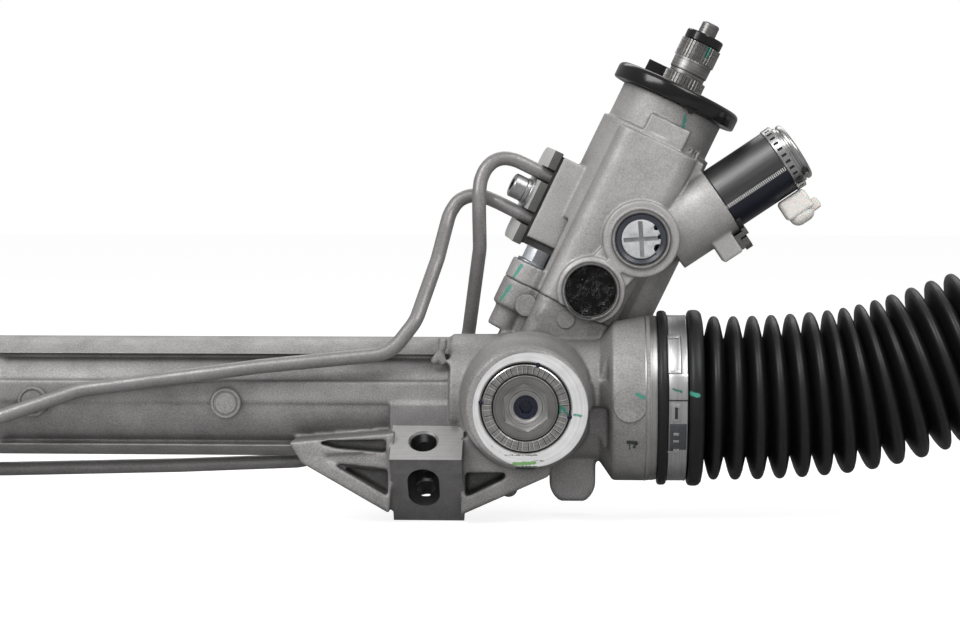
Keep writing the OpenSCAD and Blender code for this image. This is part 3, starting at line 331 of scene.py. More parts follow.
def skin_finish(name, dark, light, metallic, roughness, grain=1800.0, mottle=90.0, bump=0.25, depth=0.0002,
                spread=0.12, coat=0.0, marks=(), shade=0.0, **sockets):
    finish = Finish(name, metallic, roughness, light, coat, **sockets)
    skin = finish.group(SKIN, finish.vector, Grain_Scale=grain, Mottle_Scale=mottle, Dark=(*dark, 1), Light=(*light, 1))
    colour = skin.outputs["Color"]
    # Painted shade: when shade is above 0, an ambient-occlusion mask darkens the colour in corners and recesses.
    if shade:
        corners = finish.tree.nodes.new("ShaderNodeAmbientOcclusion")
        corners.samples = 6
        corners.inputs["Distance"].default_value = 0.022
        open_share = ranged(finish.tree, corners.outputs["AO"], 0.25, 0.92, 1.0 - 0.62 * shade, 1.0)
        colour = blend_colour(finish.tree, open_share, (0.0, 0.0, 0.0), colour)
    finish.colour(finish.dabs(colour, marks))
    finish.roughness(skin.outputs["Mask"], roughness + spread, roughness - spread)
    finish.bump(skin.outputs["Height"], bump, depth)
    return finish.material


def turned_finish(name, place, dark, light, roughness, rings=2600.0, bump=0.2, metallic=1.0, marks=(), **sockets):
    finish = Finish(name, metallic, roughness, light, **sockets)
    marked = finish.group(TURNED, finish.mapped(place), Rings=rings, Dark=(*dark, 1), Light=(*light, 1))
    finish.colour(finish.dabs(marked.outputs["Color"], marks))
    finish.roughness(marked.outputs["Height"], roughness - 0.08, roughness + 0.1)
    finish.bump(marked.outputs["Height"], bump, 0.0001)
    return finish.material


def brushed_finish(name, place, dark, light, roughness, stretch=(60, 4000, 1500), bump=0.15, metallic=1.0, marks=(),
        **sockets):
    """Long fine scratches: noise that is stretched along one axis of the frame."""
    finish = Finish(name, metallic, roughness, light, **sockets)
    tree = finish.tree
    scaled = tree.nodes.new("ShaderNodeVectorMath")
    scaled.operation = "MULTIPLY"
    scaled.inputs[1].default_value = stretch
    wire(tree, finish.mapped(place), scaled.inputs[0])
    lines = noise(tree, scaled.outputs[0], 1.0, 3.0, 0.6)
    patches = noise(tree, finish.vector, 140.0, 2.0, 0.5)
    mask = ranged(tree, maths(tree, "ADD", maths(tree, "MULTIPLY", lines, 0.7), maths(tree, "MULTIPLY", patches, 0.4)),
        0.35, 0.75)
    finish.colour(finish.dabs(blend_colour(tree, mask, dark, light), marks))
    finish.roughness(mask, roughness + 0.1, roughness - 0.06)
    finish.bump(lines, bump, 0.0001)
    return finish.material


ON_HOUSING = [
    (RACK_FRAME, (44.6, -34.4, 4.6), (47.6, -34.5, 3.0), 0.9, TEAL),
    (RACK_FRAME, (41.2, -31.2, -15.3), (44.4, -30.8, -15.6), 1.0, SOOT), (RACK_FRAME, (41.8, -30.6, -16.6),
        (41.7, -29.6, -18.4), 0.45, SOOT),
    (RACK_FRAME, (44.2, -30.6, -16.2), (43.6, -30, -17.4), 0.7, SOOT),
    (RACK_FRAME, (22, -30, -24.9), (22.1, -30, -25), 0.3, SOOT),
    (FRONT, (-3.6, -24.3, 47), (3.8, -24.4, 47), 0.8, SOOT), (FRONT, (3.8, -24.4, 46.6), (11.5, -22, 46.6), 0.35, SOOT),
    (TOWER, (-28.0, -19, 38.6), (-29.2, -19, 31.2), 0.95, TEAL)]
ON_VALVE = [
    (TOWER, (6.5, -21.5, 133.4), (8.7, -20.7, 125.6), 0.8, TEAL), (TOWER, (8.4, -20.8, 124.4), (6.5, -21.5, 123.8), 0.5,
        TEAL),
    (TOWER, (-27.6, -19, 48.0), (-28.4, -19, 42.4), 0.95, TEAL)]
CAST_DARK, CAST_LIGHT = (0.2, 0.194, 0.192), (0.4, 0.389, 0.385)
# Both casting finishes carry painted shade in their corners and recesses (shade).
CAST = skin_finish("cast_aluminium", CAST_DARK, CAST_LIGHT, 0.4, 0.52, grain=1500.0, mottle=60.0, bump=0.35,
    marks=ON_HOUSING, shade=0.9)
CAST_VALVE = skin_finish("cast_aluminium_valve", (0.27, 0.262, 0.259), (0.5, 0.487, 0.481), 0.4, 0.5, grain=1600.0,
    mottle=60.0, bump=0.25,
                         marks=ON_VALVE, shade=0.8)
BLOCK_FRONT = skin_finish("block_front", (0.14, 0.136, 0.138), (0.26, 0.252, 0.256), 0.5, 0.5, grain=2600.0,
    mottle=120.0)
BLOCK_TOP = brushed_finish("milled_aluminium", block_frame(0), (0.6, 0.595, 0.59), (0.84, 0.83, 0.825), 0.45)
# Painted shade: a near-black finish for the walls inside the blocks' slots, where shade falls.
SLOT_SHADE = skin_finish("slot_painted_shade", (0.02, 0.02, 0.021), (0.06, 0.059, 0.062), 0.3, 0.5)
BORE = turned_finish("bored_hole", block_frame(0), (0.25, 0.25, 0.25), (0.55, 0.55, 0.55), 0.32)
BOSS_TURNED = turned_finish("turned_boss", FRONT, (0.5, 0.497, 0.502), (0.72, 0.716, 0.722), 0.42, rings=900.0,
    metallic=0.4, marks=[
    (FRONT, (19.6, -2.5, 48), (22.0, -2.9, 48), 0.7, TEAL), (FRONT, (-4.6, -22.4, 48), (3.6, -21.8, 48), 0.9, LEAF),
    (FRONT, (-3.6, -23.5, 48), (5, -23.4, 48), 0.55, SOOT), (FRONT, (-8, -18.8, 48), (4.6, -18.8, 48), 0.3,
        SOOT), (FRONT, (3.6, -20.9, 48), (7.2, -21, 48), 0.3, SOOT),
    (FRONT, (-13.4, -15.0, 48), (-12.9, -15.8, 48), 0.22, SOOT), (FRONT, (-10.2, -17.4, 48), (-9.4, -17.8, 48), 0.22,
        SOOT)])
BORE_WALL = turned_finish("bored_wall", FRONT, (0.1, 0.092, 0.085), (0.2, 0.185, 0.17), 0.4)
END_TURNED = turned_finish("turned_collar", RIGHT_END, (0.36, 0.354, 0.35), (0.6, 0.594, 0.59), 0.36)
PORT_TURNED = turned_finish("turned_port", port_frame(12.2, 79.9), (0.15, 0.147, 0.145), (0.34, 0.333, 0.33), 0.36)
ADJUSTER = turned_finish("turned_adjuster", FRONT, (0.19, 0.181, 0.176), (0.36, 0.347, 0.338), 0.42, rings=1500.0,
    bump=0.35)
SOCKET = turned_finish("socket_floor", FRONT, (0.33, 0.324, 0.32), (0.56, 0.55, 0.545), 0.42, rings=800.0)
ZINC = skin_finish("zinc_steel", (0.36, 0.36, 0.365), (0.6, 0.6, 0.6), 0.95, 0.32, grain=1400.0, bump=0.08)
PALE_ZINC = skin_finish("pale_zinc", (0.55, 0.542, 0.53), (0.76, 0.752, 0.74), 0.4, 0.42, grain=2200.0, bump=0.05)
BRIGHT = skin_finish("bright_steel", (0.5, 0.5, 0.5), (0.74, 0.74, 0.74), 1.0, 0.24, grain=2400.0, bump=0.05,
    spread=0.06)
ON_RUBBER = [(RACK_FRAME, (65.8, -36.3, 5.2), (69.2, -36.5, 4.3), 0.95, TEAL)]
ON_BAND = [(RACK_FRAME, (59.2, -34.2, 6.8), (62.2, -34.4, 5.6), 0.6, TEAL)]
SHAFT = turned_finish("turned_shaft", TOWER, (0.16, 0.155, 0.15), (0.36, 0.352, 0.345), 0.38, rings=1500.0, marks=[
    (TOWER, (3.3, -8.2, 164), (3.8, -8, 160.2), 0.9, TEAL)])
GREY_STEEL = skin_finish("grey_steel", (0.1, 0.1, 0.095), (0.2, 0.2, 0.19), 0.8, 0.45, grain=2600.0, bump=0.15)
DARK_STEEL = skin_finish("dark_steel", (0.02, 0.02, 0.022), (0.07, 0.07, 0.072), 0.6, 0.45, bump=0.1)
# Painted shade: a near-black navy for the staking dimples and for the adjuster screw deep in its hole, standing for the
# shade there.
HOLE_SHADE = skin_finish("painted_hole_shade", (0.003, 0.004, 0.012), (0.008, 0.01, 0.03), 0.0, 0.3)
PIPE = skin_finish("pipe_coat", (0.2, 0.194, 0.192), (0.31, 0.302, 0.3), 0.5, 0.42, grain=1200.0, mottle=60.0,
    bump=0.05)
RUBBER = skin_finish("bellows_rubber", (0.0035, 0.0035, 0.004), (0.011, 0.011, 0.0115), 0.0, 0.42, grain=2600.0,
                     mottle=120.0, bump=0.06, depth=0.0001, marks=ON_RUBBER, Specular_IOR_Level=0.42)
SEAL = skin_finish("seal_rubber", (0.008, 0.008, 0.008), (0.02, 0.02, 0.02), 0.0, 0.5, bump=0.05)
PLASTIC = skin_finish("black_plastic", (0.003, 0.003, 0.0035), (0.008, 0.008, 0.009), 0.0, 0.17, grain=1600.0,
    bump=0.04, spread=0.03)
def crinkled_finish():
    """Black film over the port: fine bright creases, more of them at the lower right."""
    finish = Finish("glossy_plug", 0.0, 0.25, (0.003, 0.003, 0.003), Specular_IOR_Level=0.1)
    tree = finish.tree
    swirl = vector_maths(tree, "ADD", finish.vector,
        vector_maths(tree, "SCALE", finish.vector, None, noise(tree, finish.vector, 260.0, 2.0, 0.5)))
    crease = ranged(tree, maths(tree, "ABSOLUTE", maths(tree, "SUBTRACT", noise(tree, swirl, 330.0, 1.5, 0.5), 0.5)),
        0.004, 0.016, 1.0, 0.0)
    patch = ranged(tree, noise(tree, finish.vector, 210.0, 1.0, 0.5), 0.44, 0.62)
    finish.colour(blend_colour(tree, maths(tree, "MULTIPLY", crease, patch), (0.003, 0.003, 0.003), (0.2, 0.2, 0.21)))
    finish.bump(crease, 0.4, 0.0003)
    return finish.material


GLOSS_PLUG = crinkled_finish()
CLOUDY = skin_finish("cloudy_plug", (0.32, 0.322, 0.33), (0.52, 0.525, 0.535), 0.0, 0.3, grain=500.0, mottle=260.0,
    bump=0.1)
CLOUDY_DEEP = skin_finish("cloudy_groove", (0.16, 0.16, 0.165), (0.28, 0.282, 0.29), 0.0, 0.35, grain=500.0, bump=0.1)
SLATE = skin_finish("slate_ring", (0.028, 0.03, 0.04), (0.06, 0.064, 0.08), 0.0, 0.3, bump=0.08)
NYLON = skin_finish("white_nylon", (0.6, 0.575, 0.535), (0.78, 0.755, 0.715), 0.0, 0.42, grain=900.0, bump=0.05,
    Subsurface_Weight=0.15,
                    Subsurface_Scale=0.002)
CAP = turned_finish("silver_cap", SOLENOID, (0.36, 0.355, 0.35), (0.58, 0.575, 0.57), 0.3)
BAND = brushed_finish("stainless_band", RIGHT_END, (0.46, 0.456, 0.46), (0.7, 0.695, 0.7), 0.36, stretch=(60, 60, 2600),
    bump=0.08, marks=ON_BAND)
EAR = skin_finish("band_ear", (0.08, 0.082, 0.095), (0.15, 0.153, 0.17), 0.7, 0.35, bump=0.05)
BLUE_ZINC = skin_finish("blue_zinc", (0.2, 0.21, 0.225), (0.38, 0.392, 0.41), 0.8, 0.38, bump=0.05)
BROWN = skin_finish("brown_ptfe", (0.12, 0.07, 0.04), (0.2, 0.12, 0.07), 0.0, 0.5)


def lock_ring_finish():
    finish = Finish("lock_ring", 0.85, 0.42)
    tree, place = finish.tree, finish.mapped(FRONT)
    base = finish.group(TURNED, place, Rings=700.0, Dark=(0.2, 0.195, 0.19, 1), Light=(0.38, 0.37, 0.365, 1))
    ticks = finish.group(TICKS, place, Count=44.0)
    # Painted shade and painted highlight of the chisel marks over the turned colour.
    dark = blend_colour(tree, ticks.outputs["Dark"], base.outputs["Color"], (0.03, 0.03, 0.03))
    tick_highlight = blend_colour(tree, ticks.outputs["Light"], dark, (0.72, 0.71, 0.7))
    finish.colour(finish.dabs(tick_highlight, [(FRONT, (13.6, 0.4, 47.6), (13.8, -1.8, 47.6), 0.7, TEAL),
        (FRONT, (14.6, 0.3, 47.6), (16.4, -1.9, 47.6), 0.8, TEAL)]))
    finish.bump(ticks.outputs["Dark"], -0.4, 0.0003)
    return finish.material


def can_finish():
    """Bare steel on the can's upper side, a finely ridged strip with painted highlights on its ridges and painted shade
    between them, and below it a painted dark reflection: a navy near-black with little metal.
    """
    finish = Finish("gunmetal_can", 0.9, 0.4)
    tree = finish.tree
    apart = tree.nodes.new("ShaderNodeSeparateXYZ")
    place = finish.mapped(SOLENOID)
    wire(tree, place, apart.inputs[0])
    x, z = apart.outputs[0], apart.outputs[2]
    lines = noise(tree, vector_maths(tree, "MULTIPLY", place, (900.0, 900.0, 60.0)), 1.0, 3.0, 0.6)
    steel = blend_colour(tree, lines, (0.075, 0.075, 0.076), (0.17, 0.168, 0.168))
    # Painted reflection: past about 4.3 mm along x, the can's side turns dark navy and loses its metal, standing for a
    # dark reflection.
    dark_reflection_side = ranged(tree, x, 0.0041, 0.0045)
    ridge = maths(tree, "MULTIPLY", ranged(tree, x, 0.0026, 0.0028), ranged(tree, x, 0.0045, 0.0041))
    wave = maths(tree, "ADD", maths(tree, "MULTIPLY",
        maths(tree, "SINE", maths(tree, "MULTIPLY", z, 2 * math.pi / 0.00086)), 0.5), 0.5)
    # Painted highlight on each ridge crest and painted shade between the crests.
    ridge_highlights = blend_colour(tree, maths(tree, "MULTIPLY", ridge, wave), steel, (0.8, 0.79, 0.78))
    shaded = blend_colour(tree, maths(tree, "MULTIPLY", ridge, maths(tree, "SUBTRACT", 1.0, wave)), ridge_highlights,
        (0.03, 0.03, 0.035))
    finish.colour(blend_colour(tree, dark_reflection_side, shaded, (0.01, 0.011, 0.02)))
    wire(tree, maths(tree, "SUBTRACT", ranged(tree, dark_reflection_side, 0.0, 1.0, 0.95, 0.1), maths(tree, "MULTIPLY", ridge, 0.8)),
        finish.shader.inputs["Metallic"])
    wire(tree, ranged(tree, dark_reflection_side, 0.0, 1.0, 0.4, 0.42), finish.shader.inputs["Roughness"])
    finish.bump(maths(tree, "MULTIPLY", ridge, wave), 0.6, 0.0002)
    return finish.material


LOCK_RING = lock_ring_finish()
CAN = can_finish()


# Modelling helpers. Every bmesh is in millimetres until it becomes a piece.
def finish_piece(obj, body, material, replaces=()):
    chosen = [p.material_index for p in obj.data.polygons]
    obj.data.materials.clear()
    for m in material if isinstance(material, (list, tuple)) else [material]:
        obj.data.materials.append(m)
    obj.data.polygons.foreach_set("material_index", [min(i, len(obj.data.materials) - 1) for i in chosen])
    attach(obj, body)
    if replaces:
        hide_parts(*replaces)
    return obj


def shade(mesh, angle=35):
    mesh.polygons.foreach_set("use_smooth", [True] * len(mesh.polygons))
    mesh.set_sharp_from_angle(angle=math.radians(angle))


def to_object(name, bm, place, angle=35):
    bmesh.ops.recalc_face_normals(bm, faces=bm.faces)
    mesh = bpy.data.meshes.new(name)
    bm.to_mesh(mesh)
    bm.free()
    mesh.transform(Matrix.Scale(MM, 4) @ place)
    obj = bpy.data.objects.new(name, mesh)
    bpy.context.scene.collection.objects.link(obj)
    shade(mesh, angle)
    return obj


def settle(obj, angle=35):
    """Applies the modifiers, so that the mesh is the shape that shows."""
    graph = bpy.context.evaluated_depsgraph_get()
    mesh = bpy.data.meshes.new_from_object(obj.evaluated_get(graph))
    obj.modifiers.clear()
    obj.data = mesh
    shade(mesh, angle)
    return obj


def round_edges(obj, width, segments=2, limit=40):
    bevel = obj.modifiers.new("edges", "BEVEL")
    bevel.width = width * MM
    bevel.segments = segments
    bevel.limit_method = "ANGLE"
    bevel.angle_limit = math.radians(limit)
    bevel.use_clamp_overlap = True
    return settle(obj)


def turned(profile, steps=96, closed=True):
    """A profile of (radius, height) points, spun around Z."""
    bm = bmesh.new()
    verts = [bm.verts.new((r, 0, z)) for r, z in profile]
    ends = verts[1:] + verts[:1] if closed else verts[1:]
    edges = [bm.edges.new(pair) for pair in zip(verts, ends)]
    bmesh.ops.spin(bm, geom=verts + edges, cent=(0, 0, 0), axis=(0, 0, 1), angle=2 * math.pi, steps=steps,
                   use_merge=True, use_duplicate=False)
    bmesh.ops.remove_doubles(bm, verts=bm.verts, dist=1e-4)
    return bm


def add_box(bm, low, high, place=Matrix.Identity(4)):
    size = [b - a for a, b in zip(low, high)]
    middle = [(a + b) / 2 for a, b in zip(low, high)]
    made = bmesh.ops.create_cube(bm, size=1)
    bmesh.ops.transform(bm, matrix=place @ at(*middle) @ Matrix.Diagonal((*size, 1)), verts=made["verts"])
    return made["verts"]


def add_cylinder(bm, r1, r2, low, high, place=Matrix.Identity(4), segments=48):
    made = bmesh.ops.create_cone(bm, cap_ends=True, segments=segments, radius1=r1, radius2=r2, depth=high - low)
    bmesh.ops.transform(bm, matrix=place @ at(0, 0, (low + high) / 2), verts=made["verts"])
    return made["verts"]


def cut_away(obj, bm, place):
    tool = to_object("tool", bm, place)
    boolean = obj.modifiers.new("cut", "BOOLEAN")
    boolean.operation = "DIFFERENCE"
    boolean.solver = "EXACT"
    boolean.object = tool
    settle(obj)
    bpy.data.objects.remove(tool)
    return obj


def copy_of(node, name):
    """The CAD node's mesh as a piece of its own, with its loose triangles merged."""
    source = frame["nodes"][node]
    bm = bmesh.new()
    bm.from_mesh(source.data)
    bmesh.ops.remove_doubles(bm, verts=bm.verts, dist=2e-6)
    mesh = bpy.data.meshes.new(name)
    bm.to_mesh(mesh)
    bm.free()
    obj = bpy.data.objects.new(name, mesh)
    bpy.context.scene.collection.objects.link(obj)
    shade(mesh, 32)
    return obj


def crisp(node, body, material, width=0.3):
    """A machined or pressed piece: the CAD shape with small rounded edges."""
    obj = copy_of(node, node + "_finished")
    bm = bmesh.new()
    bm.from_mesh(obj.data)
    bmesh.ops.dissolve_limit(bm, angle_limit=math.radians(1), verts=bm.verts, edges=bm.edges)
    bm.to_mesh(obj.data)
    bm.free()
    if width:
        round_edges(obj, width)
    return finish_piece(obj, body, material, [node])


def cast_copy(node, name, voxel, passes, limit, plugs, added=(), cut=()):
    """A casting: the CAD shape with every edge rounded and every inner corner filleted."""
    obj = copy_of(node, name)
    for tool, place in cut:
        cut_away(obj, tool, place)
    bm = bmesh.new()
    bm.from_mesh(obj.data)
    for r, low, high, place in plugs:
        made = bmesh.ops.create_cone(bm, cap_ends=True, segments=48, radius1=r * MM, radius2=r * MM,
            depth=(high - low) * MM)
        metre_place = place.copy()
        metre_place.translation *= MM
        bmesh.ops.transform(bm, matrix=metre_place @ at(0, 0, (low + high) / 2 * MM), verts=made["verts"])
    for extra, place in added:
        bmesh.ops.recalc_face_normals(extra, faces=extra.faces)
        mesh = bpy.data.meshes.new("extra")
        extra.to_mesh(mesh)
        extra.free()
        mesh.transform(Matrix.Scale(MM, 4) @ place)
        bm.from_mesh(mesh)
        bpy.data.meshes.remove(mesh)
    bm.to_mesh(obj.data)
    bm.free()
    remesh = obj.modifiers.new("remesh", "REMESH")
    remesh.mode = "VOXEL"
    remesh.voxel_size = voxel * MM
    smooth = obj.modifiers.new("smooth", "SMOOTH")
    smooth.factor = 0.5
    smooth.iterations = passes
    settle(obj)
    count = len(obj.data.polygons) * 2
    if count > limit:
        decimate = obj.modifiers.new("thin", "DECIMATE")
        decimate.ratio = limit / count
        settle(obj, 180)
    obj.data.polygons.foreach_set("use_smooth", [True] * len(obj.data.polygons))
    return obj


def prism(points, low, high):
    """A polygon of (x, z) points, pulled along Y."""
    bm = bmesh.new()
    face = bm.faces.new([bm.verts.new((x, low, z)) for x, z in points])
    pulled = bmesh.ops.extrude_face_region(bm, geom=[face])
    bmesh.ops.translate(bm, vec=(0, high - low, 0),
        verts=[g for g in pulled["geom"] if isinstance(g, bmesh.types.BMVert)])
    return bm


def box_of(low, high):
    bm = bmesh.new()
    add_box(bm, low, high)
    return bm


def drum_of(r, low, high, x=0.0, y=0.0, r2=None):
    bm = bmesh.new()
    add_cylinder(bm, r, r if r2 is None else r2, low, high, at(x, y, 0))
    return bm


# Castings. The blocks are cut out of the copy, because they come back as crisp milled pieces
along_rack = RACK_FRAME @ turn(90, "Y")
BLOCK_LOW, BLOCK_HIGH = (-13.2, -11.1, -31.0), (16.0, 11.05, 2.94)
added, cut = [], []
for span in (0, -BOLT_SPAN):
    cut.append((box_of((-12.0, -14, -34), (14.8, 9.6, 6)), block_frame(span)))
    here = RACK_FRAME @ at(span, 0, 0)
    cut.append((prism([(-25.2, -28.4), (-25.2, -38.4), (-4.6, -28.3)], -50, -13), here))
    cut.append((prism([(-88, -15.6), (-57.2, -14.6), (-57.2, -20.2), (-78, -18.4)], -50, -24), here))
    added.append((prism([(-84, -18.6), (-56, -20.2), (-56, -27.2), (-80, -24.6)], -31.5, -18), here))
    added.append((prism([(-81, -24.6), (-56, -27.4), (-56, -28.2), (-81, -26)], -28.5, -18), here))
added.append((box_of((-56.6, -23.0, -15), (-26, -8, -0.8)), RACK_FRAME))
lug = bmesh.new()
for start, end, r in (((-34.8, 26.2), (-35.2, 21.5), 2.0), ((-35.2, 21.5), (-39, 15.5), 1.6),
        ((-35.6, 20.5), (-34.6, 15), 1.4)):
    gap = Vector((end[0] - start[0], 0, end[1] - start[1]))
    add_cylinder(lug, r, r, 0, gap.length,
        at(start[0], -19.6, start[1]) @ gap.to_track_quat("Z", "Y").to_matrix().to_4x4(), 16)
added.append((lug, RACK_FRAME))
cut.append((prism([(24.2, -1.6), (33.4, -1.6), (33.4, -18.6), (25.4, -18.6)], -60, -23.4), RACK_FRAME))
cut.append((prism([(26.6, 20.5), (33.2, 19), (33.2, 8.6), (24.8, 8.6)], -60, -25.2), RACK_FRAME))
cut.append((box_of((4, -20, -60), (33, 20, -42.6)), RACK_FRAME))
added.append((prism([(9.2, -33), (11.4, -39.8), (13.8, -42.4), (23.4, -42.4), (25.8, -40.4), (27.9, -33)], -9.9, 11.9),
    RACK_FRAME))
cut.append((box_of((-13.6, -30, 29.2), (-4.4, -26.03, 38.4)), TOWER))
rack_casting = cast_copy("rack_housing", "rack_casting", 0.8, 3, 195000, [
    (21, END_LEFT + 32, -30, along_rack), (17, -40, 20, along_rack), (21.5, 22, 24, along_rack),
    (17, 0, 33, FRONT), (18, -20, 35, TOWER)], added, cut)
finish_piece(rack_casting, "housing", CAST, ["rack_housing"])
ribs = bmesh.new()
for x in (13.2, 16.4, 19.4):
    add_box(ribs, (x, -17.5, 112), (x + 1.2, -10, 122.6), turn(-6, "Z"))
valve_casting = cast_copy("valve_housing", "valve_casting", 0.55, 4, 195000, [
    (16.5, 46, 130, TOWER)], [(ribs, TOWER), (box_of((-31.1, -11.9, 60), (-14, -2, 92)), TOWER)])
finish_piece(valve_casting, "housing", CAST_VALVE, ["valve_housing"])

# Yoke boss: the machined face is a little off the cast rim
rim_bm = turned([(18.35, 40), (23.1, 40), (23.15, 47.6), (22.9, 48.05), (18.85, 48.05), (18.4, 47.5)], 128)
for v in rim_bm.verts:
    if v.co.xy.length > 21:
        v.co += Vector((1.9, -0.65, 0))
finish_piece(to_object("boss_rim", rim_bm, FRONT), "housing", BOSS_TURNED)
wall = to_object("boss_bore", turned([(18.34, 38), (18.36, 38), (18.36, 47.4), (18.34, 47.4)], 96), FRONT)
finish_piece(wall, "housing", BORE_WALL)
# Staking dots, coloured with the painted hole shade.
dots = bmesh.new()
for angle in (74, 173, -11):
    add_cylinder(dots, 1.05, 0.85, 46.8, 48.14, turn(angle, "Z") @ at(18.1, 0, 0), 20)
finish_piece(round_edges(to_object("staking_dots", dots, FRONT), 0.15), "housing", HOLE_SHADE)
ring = to_object("lock_ring_finished", turned([(13.5, 41.6), (17.55, 41.6), (17.55, 47.0), (17.3, 47.5), (16.95, 47.72),
    (16.8, 47.45),
                                               (13.9, 47.45), (13.5, 47.1)], 128), FRONT)
finish_piece(ring, "housing", LOCK_RING, ["yoke_lock_ring"])
edge_ring = to_object("lock_ring_edge", turned([(16.9, 47.4), (17.5, 47.2), (17.42, 47.45), (17.0, 47.76)], 128), FRONT)
finish_piece(edge_ring, "housing", BRIGHT)
disc = to_object("adjuster_disc", turned([(4.9, 38), (13.1, 38), (13.1, 46.9), (12.8, 47.2), (4.9, 47.2)], 128), FRONT)
tool = bmesh.new()
bmesh.ops.create_cone(tool, cap_ends=True, segments=6, radius1=17 / math.sqrt(3), radius2=17 / math.sqrt(3), depth=6)
cut_away(disc, tool, FRONT @ at(0, 0, 47.4) @ turn(5, "Z"))
round_edges(disc, 0.12)
for p in disc.data.polygons:
    centre = FRONT.inverted() @ (p.center / MM)
    p.material_index = 1 if centre.z < 44.6 else 0
finish_piece(disc, "housing", [ADJUSTER, SOCKET], ["yoke_adjuster"])
step = to_object("adjuster_step", turned([(4.85, 43.2), (6.9, 43.2), (6.9, 44.42), (6.6, 44.6), (5.6, 44.5),
    (4.9, 44.0)], 96), FRONT)
finish_piece(step, "housing", SOCKET)


# Mounting blocks
def mounting_block(name, x):
    place = block_frame(x)
    bm = box_of(BLOCK_LOW, BLOCK_HIGH)
    edge = [e for e in bm.edges if all(v.co.x > 0 and v.co.y > 0 for v in e.verts)]
    bmesh.ops.bevel(bm, geom=edge, offset=5, segments=6, profile=0.5, affect="EDGES")
    obj = to_object(name, bm, place)
    slot = prism([(6.5 * math.cos(math.radians(a)), (-16.2 if a > 180 else -8.8) + 6.5 * math.sin(math.radians(a)))
                  for a in list(range(0, 181, 12)) + list(range(180, 361, 12))], -20, 9)
    bmesh.ops.remove_doubles(slot, verts=slot.verts, dist=0.01)
    cut_away(obj, slot, place)
    cut_away(obj, drum_of(5.4, -8, 8), place)
    cut_away(obj, drum_of(5.4, 2.1, 3.6, r2=6.9), place)
    cut_away(obj, drum_of(4.6, -40, -15), place)
    cut_away(obj, drum_of(4.6, -23.5, -22.4, r2=5.7), place)
    round_edges(obj, 0.3)
    for p in obj.data.polygons:
        normal = place.to_3x3().inverted() @ p.normal
        centre = place.inverted() @ (p.center / MM)
        hole = centre.xy.length < 6.4 and (centre.z > -2.2 or centre.z < -22.25)
        # Faces inside the slot get the painted slot shade.
        inside = abs(centre.x) < 6.7 and -22.9 < centre.z < -2.0 and centre.y > -10.8
        p.material_index = 1 if normal.z > 0.95 and centre.z > 2.8 else 2 if hole else 3 if inside else 0
    finish_piece(obj, "housing", [BLOCK_FRONT, BLOCK_TOP, BORE, SLOT_SHADE])


dark_pad = box_of((-55.8, -23.3, -14), (-27.2, -20, -1.8))
finish_piece(round_edges(to_object("pad_over_block", dark_pad, RACK_FRAME), 0.3), "housing", BLOCK_FRONT)
mounting_block("block_right", 0)
mounting_block("block_left", -BOLT_SPAN)

# Ejector pads on the tube and the collar, and the collar's machined lips
pad = turned([(0, 24.3), (4.3, 24.3), (4.6, 23.9), (5.0, 23.9), (5.3, 24.4), (5.9, 24.4), (6.3, 23.9), (6.3, 15),
    (0, 15)], 48)
finish_piece(to_object("tube_pad_right", pad.copy(), FRONT @ at(-124.4, -1, 0)), "housing", CAST)
finish_piece(to_object("tube_pad_left", pad, FRONT @ at(-205, -0.8, 0)), "housing", CAST)
pad = turned([(0, 34.98), (6.5, 34.98), (6.8, 34.7), (6.8, 30), (0, 30)], 64)
finish_piece(to_object("collar_pad", pad, FRONT @ at(41.8, -0.2, 0)), "housing", CAST)
for name, x, t, r, out in (("flange_pad_left", -18.4, 34, 4.7, 20.6), ("flange_pad_right", -1.1, 36.3, 3.9, 26.7)):
    pad = turned([(0, out), (r - 0.3, out), (r, out - 0.3), (r, out - 9), (0, out - 9)], 48)
    finish_piece(to_object(name, pad, port_frame(x, t)), "housing", CAST)
nub = drum_of(3.8, -4, 5)
finish_piece(round_edges(to_object("wing_nub", nub, FRONT @ at(-8, -36.6, 10)), 0.8, 3), "housing", CAST)
for name, place in (("lip_right", RIGHT_END), ("lip_left", LEFT_END)):
    lip = to_object(name, turned([(31, -5.2), (34.75, -5.2), (34.86, -5.0), (34.86, -4.8), (34.5, -4.6), (34.55, -1.9),
        (34.2, -0.2), (33.8, 0.03), (31, 0.03)], 128), place)
    finish_piece(lip, "housing", END_TURNED)

# Ports: two thin machined rings around each plug
for name, x, t, width in (("port_rim_upper", 12.2, 79.9, 12.35), ("port_rim_lower", 2.9, 51.8, 12.15)):
    rim = to_object(name, turned([(10.5, 24), (width, 24), (width, 33.6), (width - 0.3, 34.0), (width - 0.75, 34.0),
        (width - 0.95, 33.5),
                                  (width - 1.15, 33.9), (10.8, 33.9), (10.5, 33.4)], 96), port_frame(x, t))
    finish_piece(rim, "housing", PORT_TURNED)
upper = port_frame(12.2, 79.9) @ turn(29.5, "Z")
ring = to_object("plug_ring", turned([(7.9, 30), (10.35, 30), (10.35, 32.9), (10.0, 33.2), (8.3, 32.4), (7.9, 32.2)],
    96), upper)
finish_piece(ring, "housing", SLATE, ["port_plug_upper"])
face = to_object("plug_face", turned([(0, 30.2), (8.05, 30.2), (8.05, 33.0), (7.7, 33.3), (0, 33.3)], 72), upper)
long, half = 7.3, 0.9
cross = [(long, half), (half, half), (half, long), (-half, long), (-half, half), (-long, half)]
cut_away(face, prism(cross + [(-x, -z) for x, z in cross], 32.0, 35), upper @ turn(90, "X"))
for angle, r in ((34, 1.2), (4, 1.1), (-32, 1.8)):
    cut_away(face, drum_of(r, 29, 35), upper @ turn(angle, "Z") @ at(7.9, 0, 0))
round_edges(face, 0.2)
for p in face.data.polygons:
    centre = upper.inverted() @ (p.center / MM)
    p.material_index = 1 if centre.z < 32.95 and centre.xy.length < 7.4 else 0
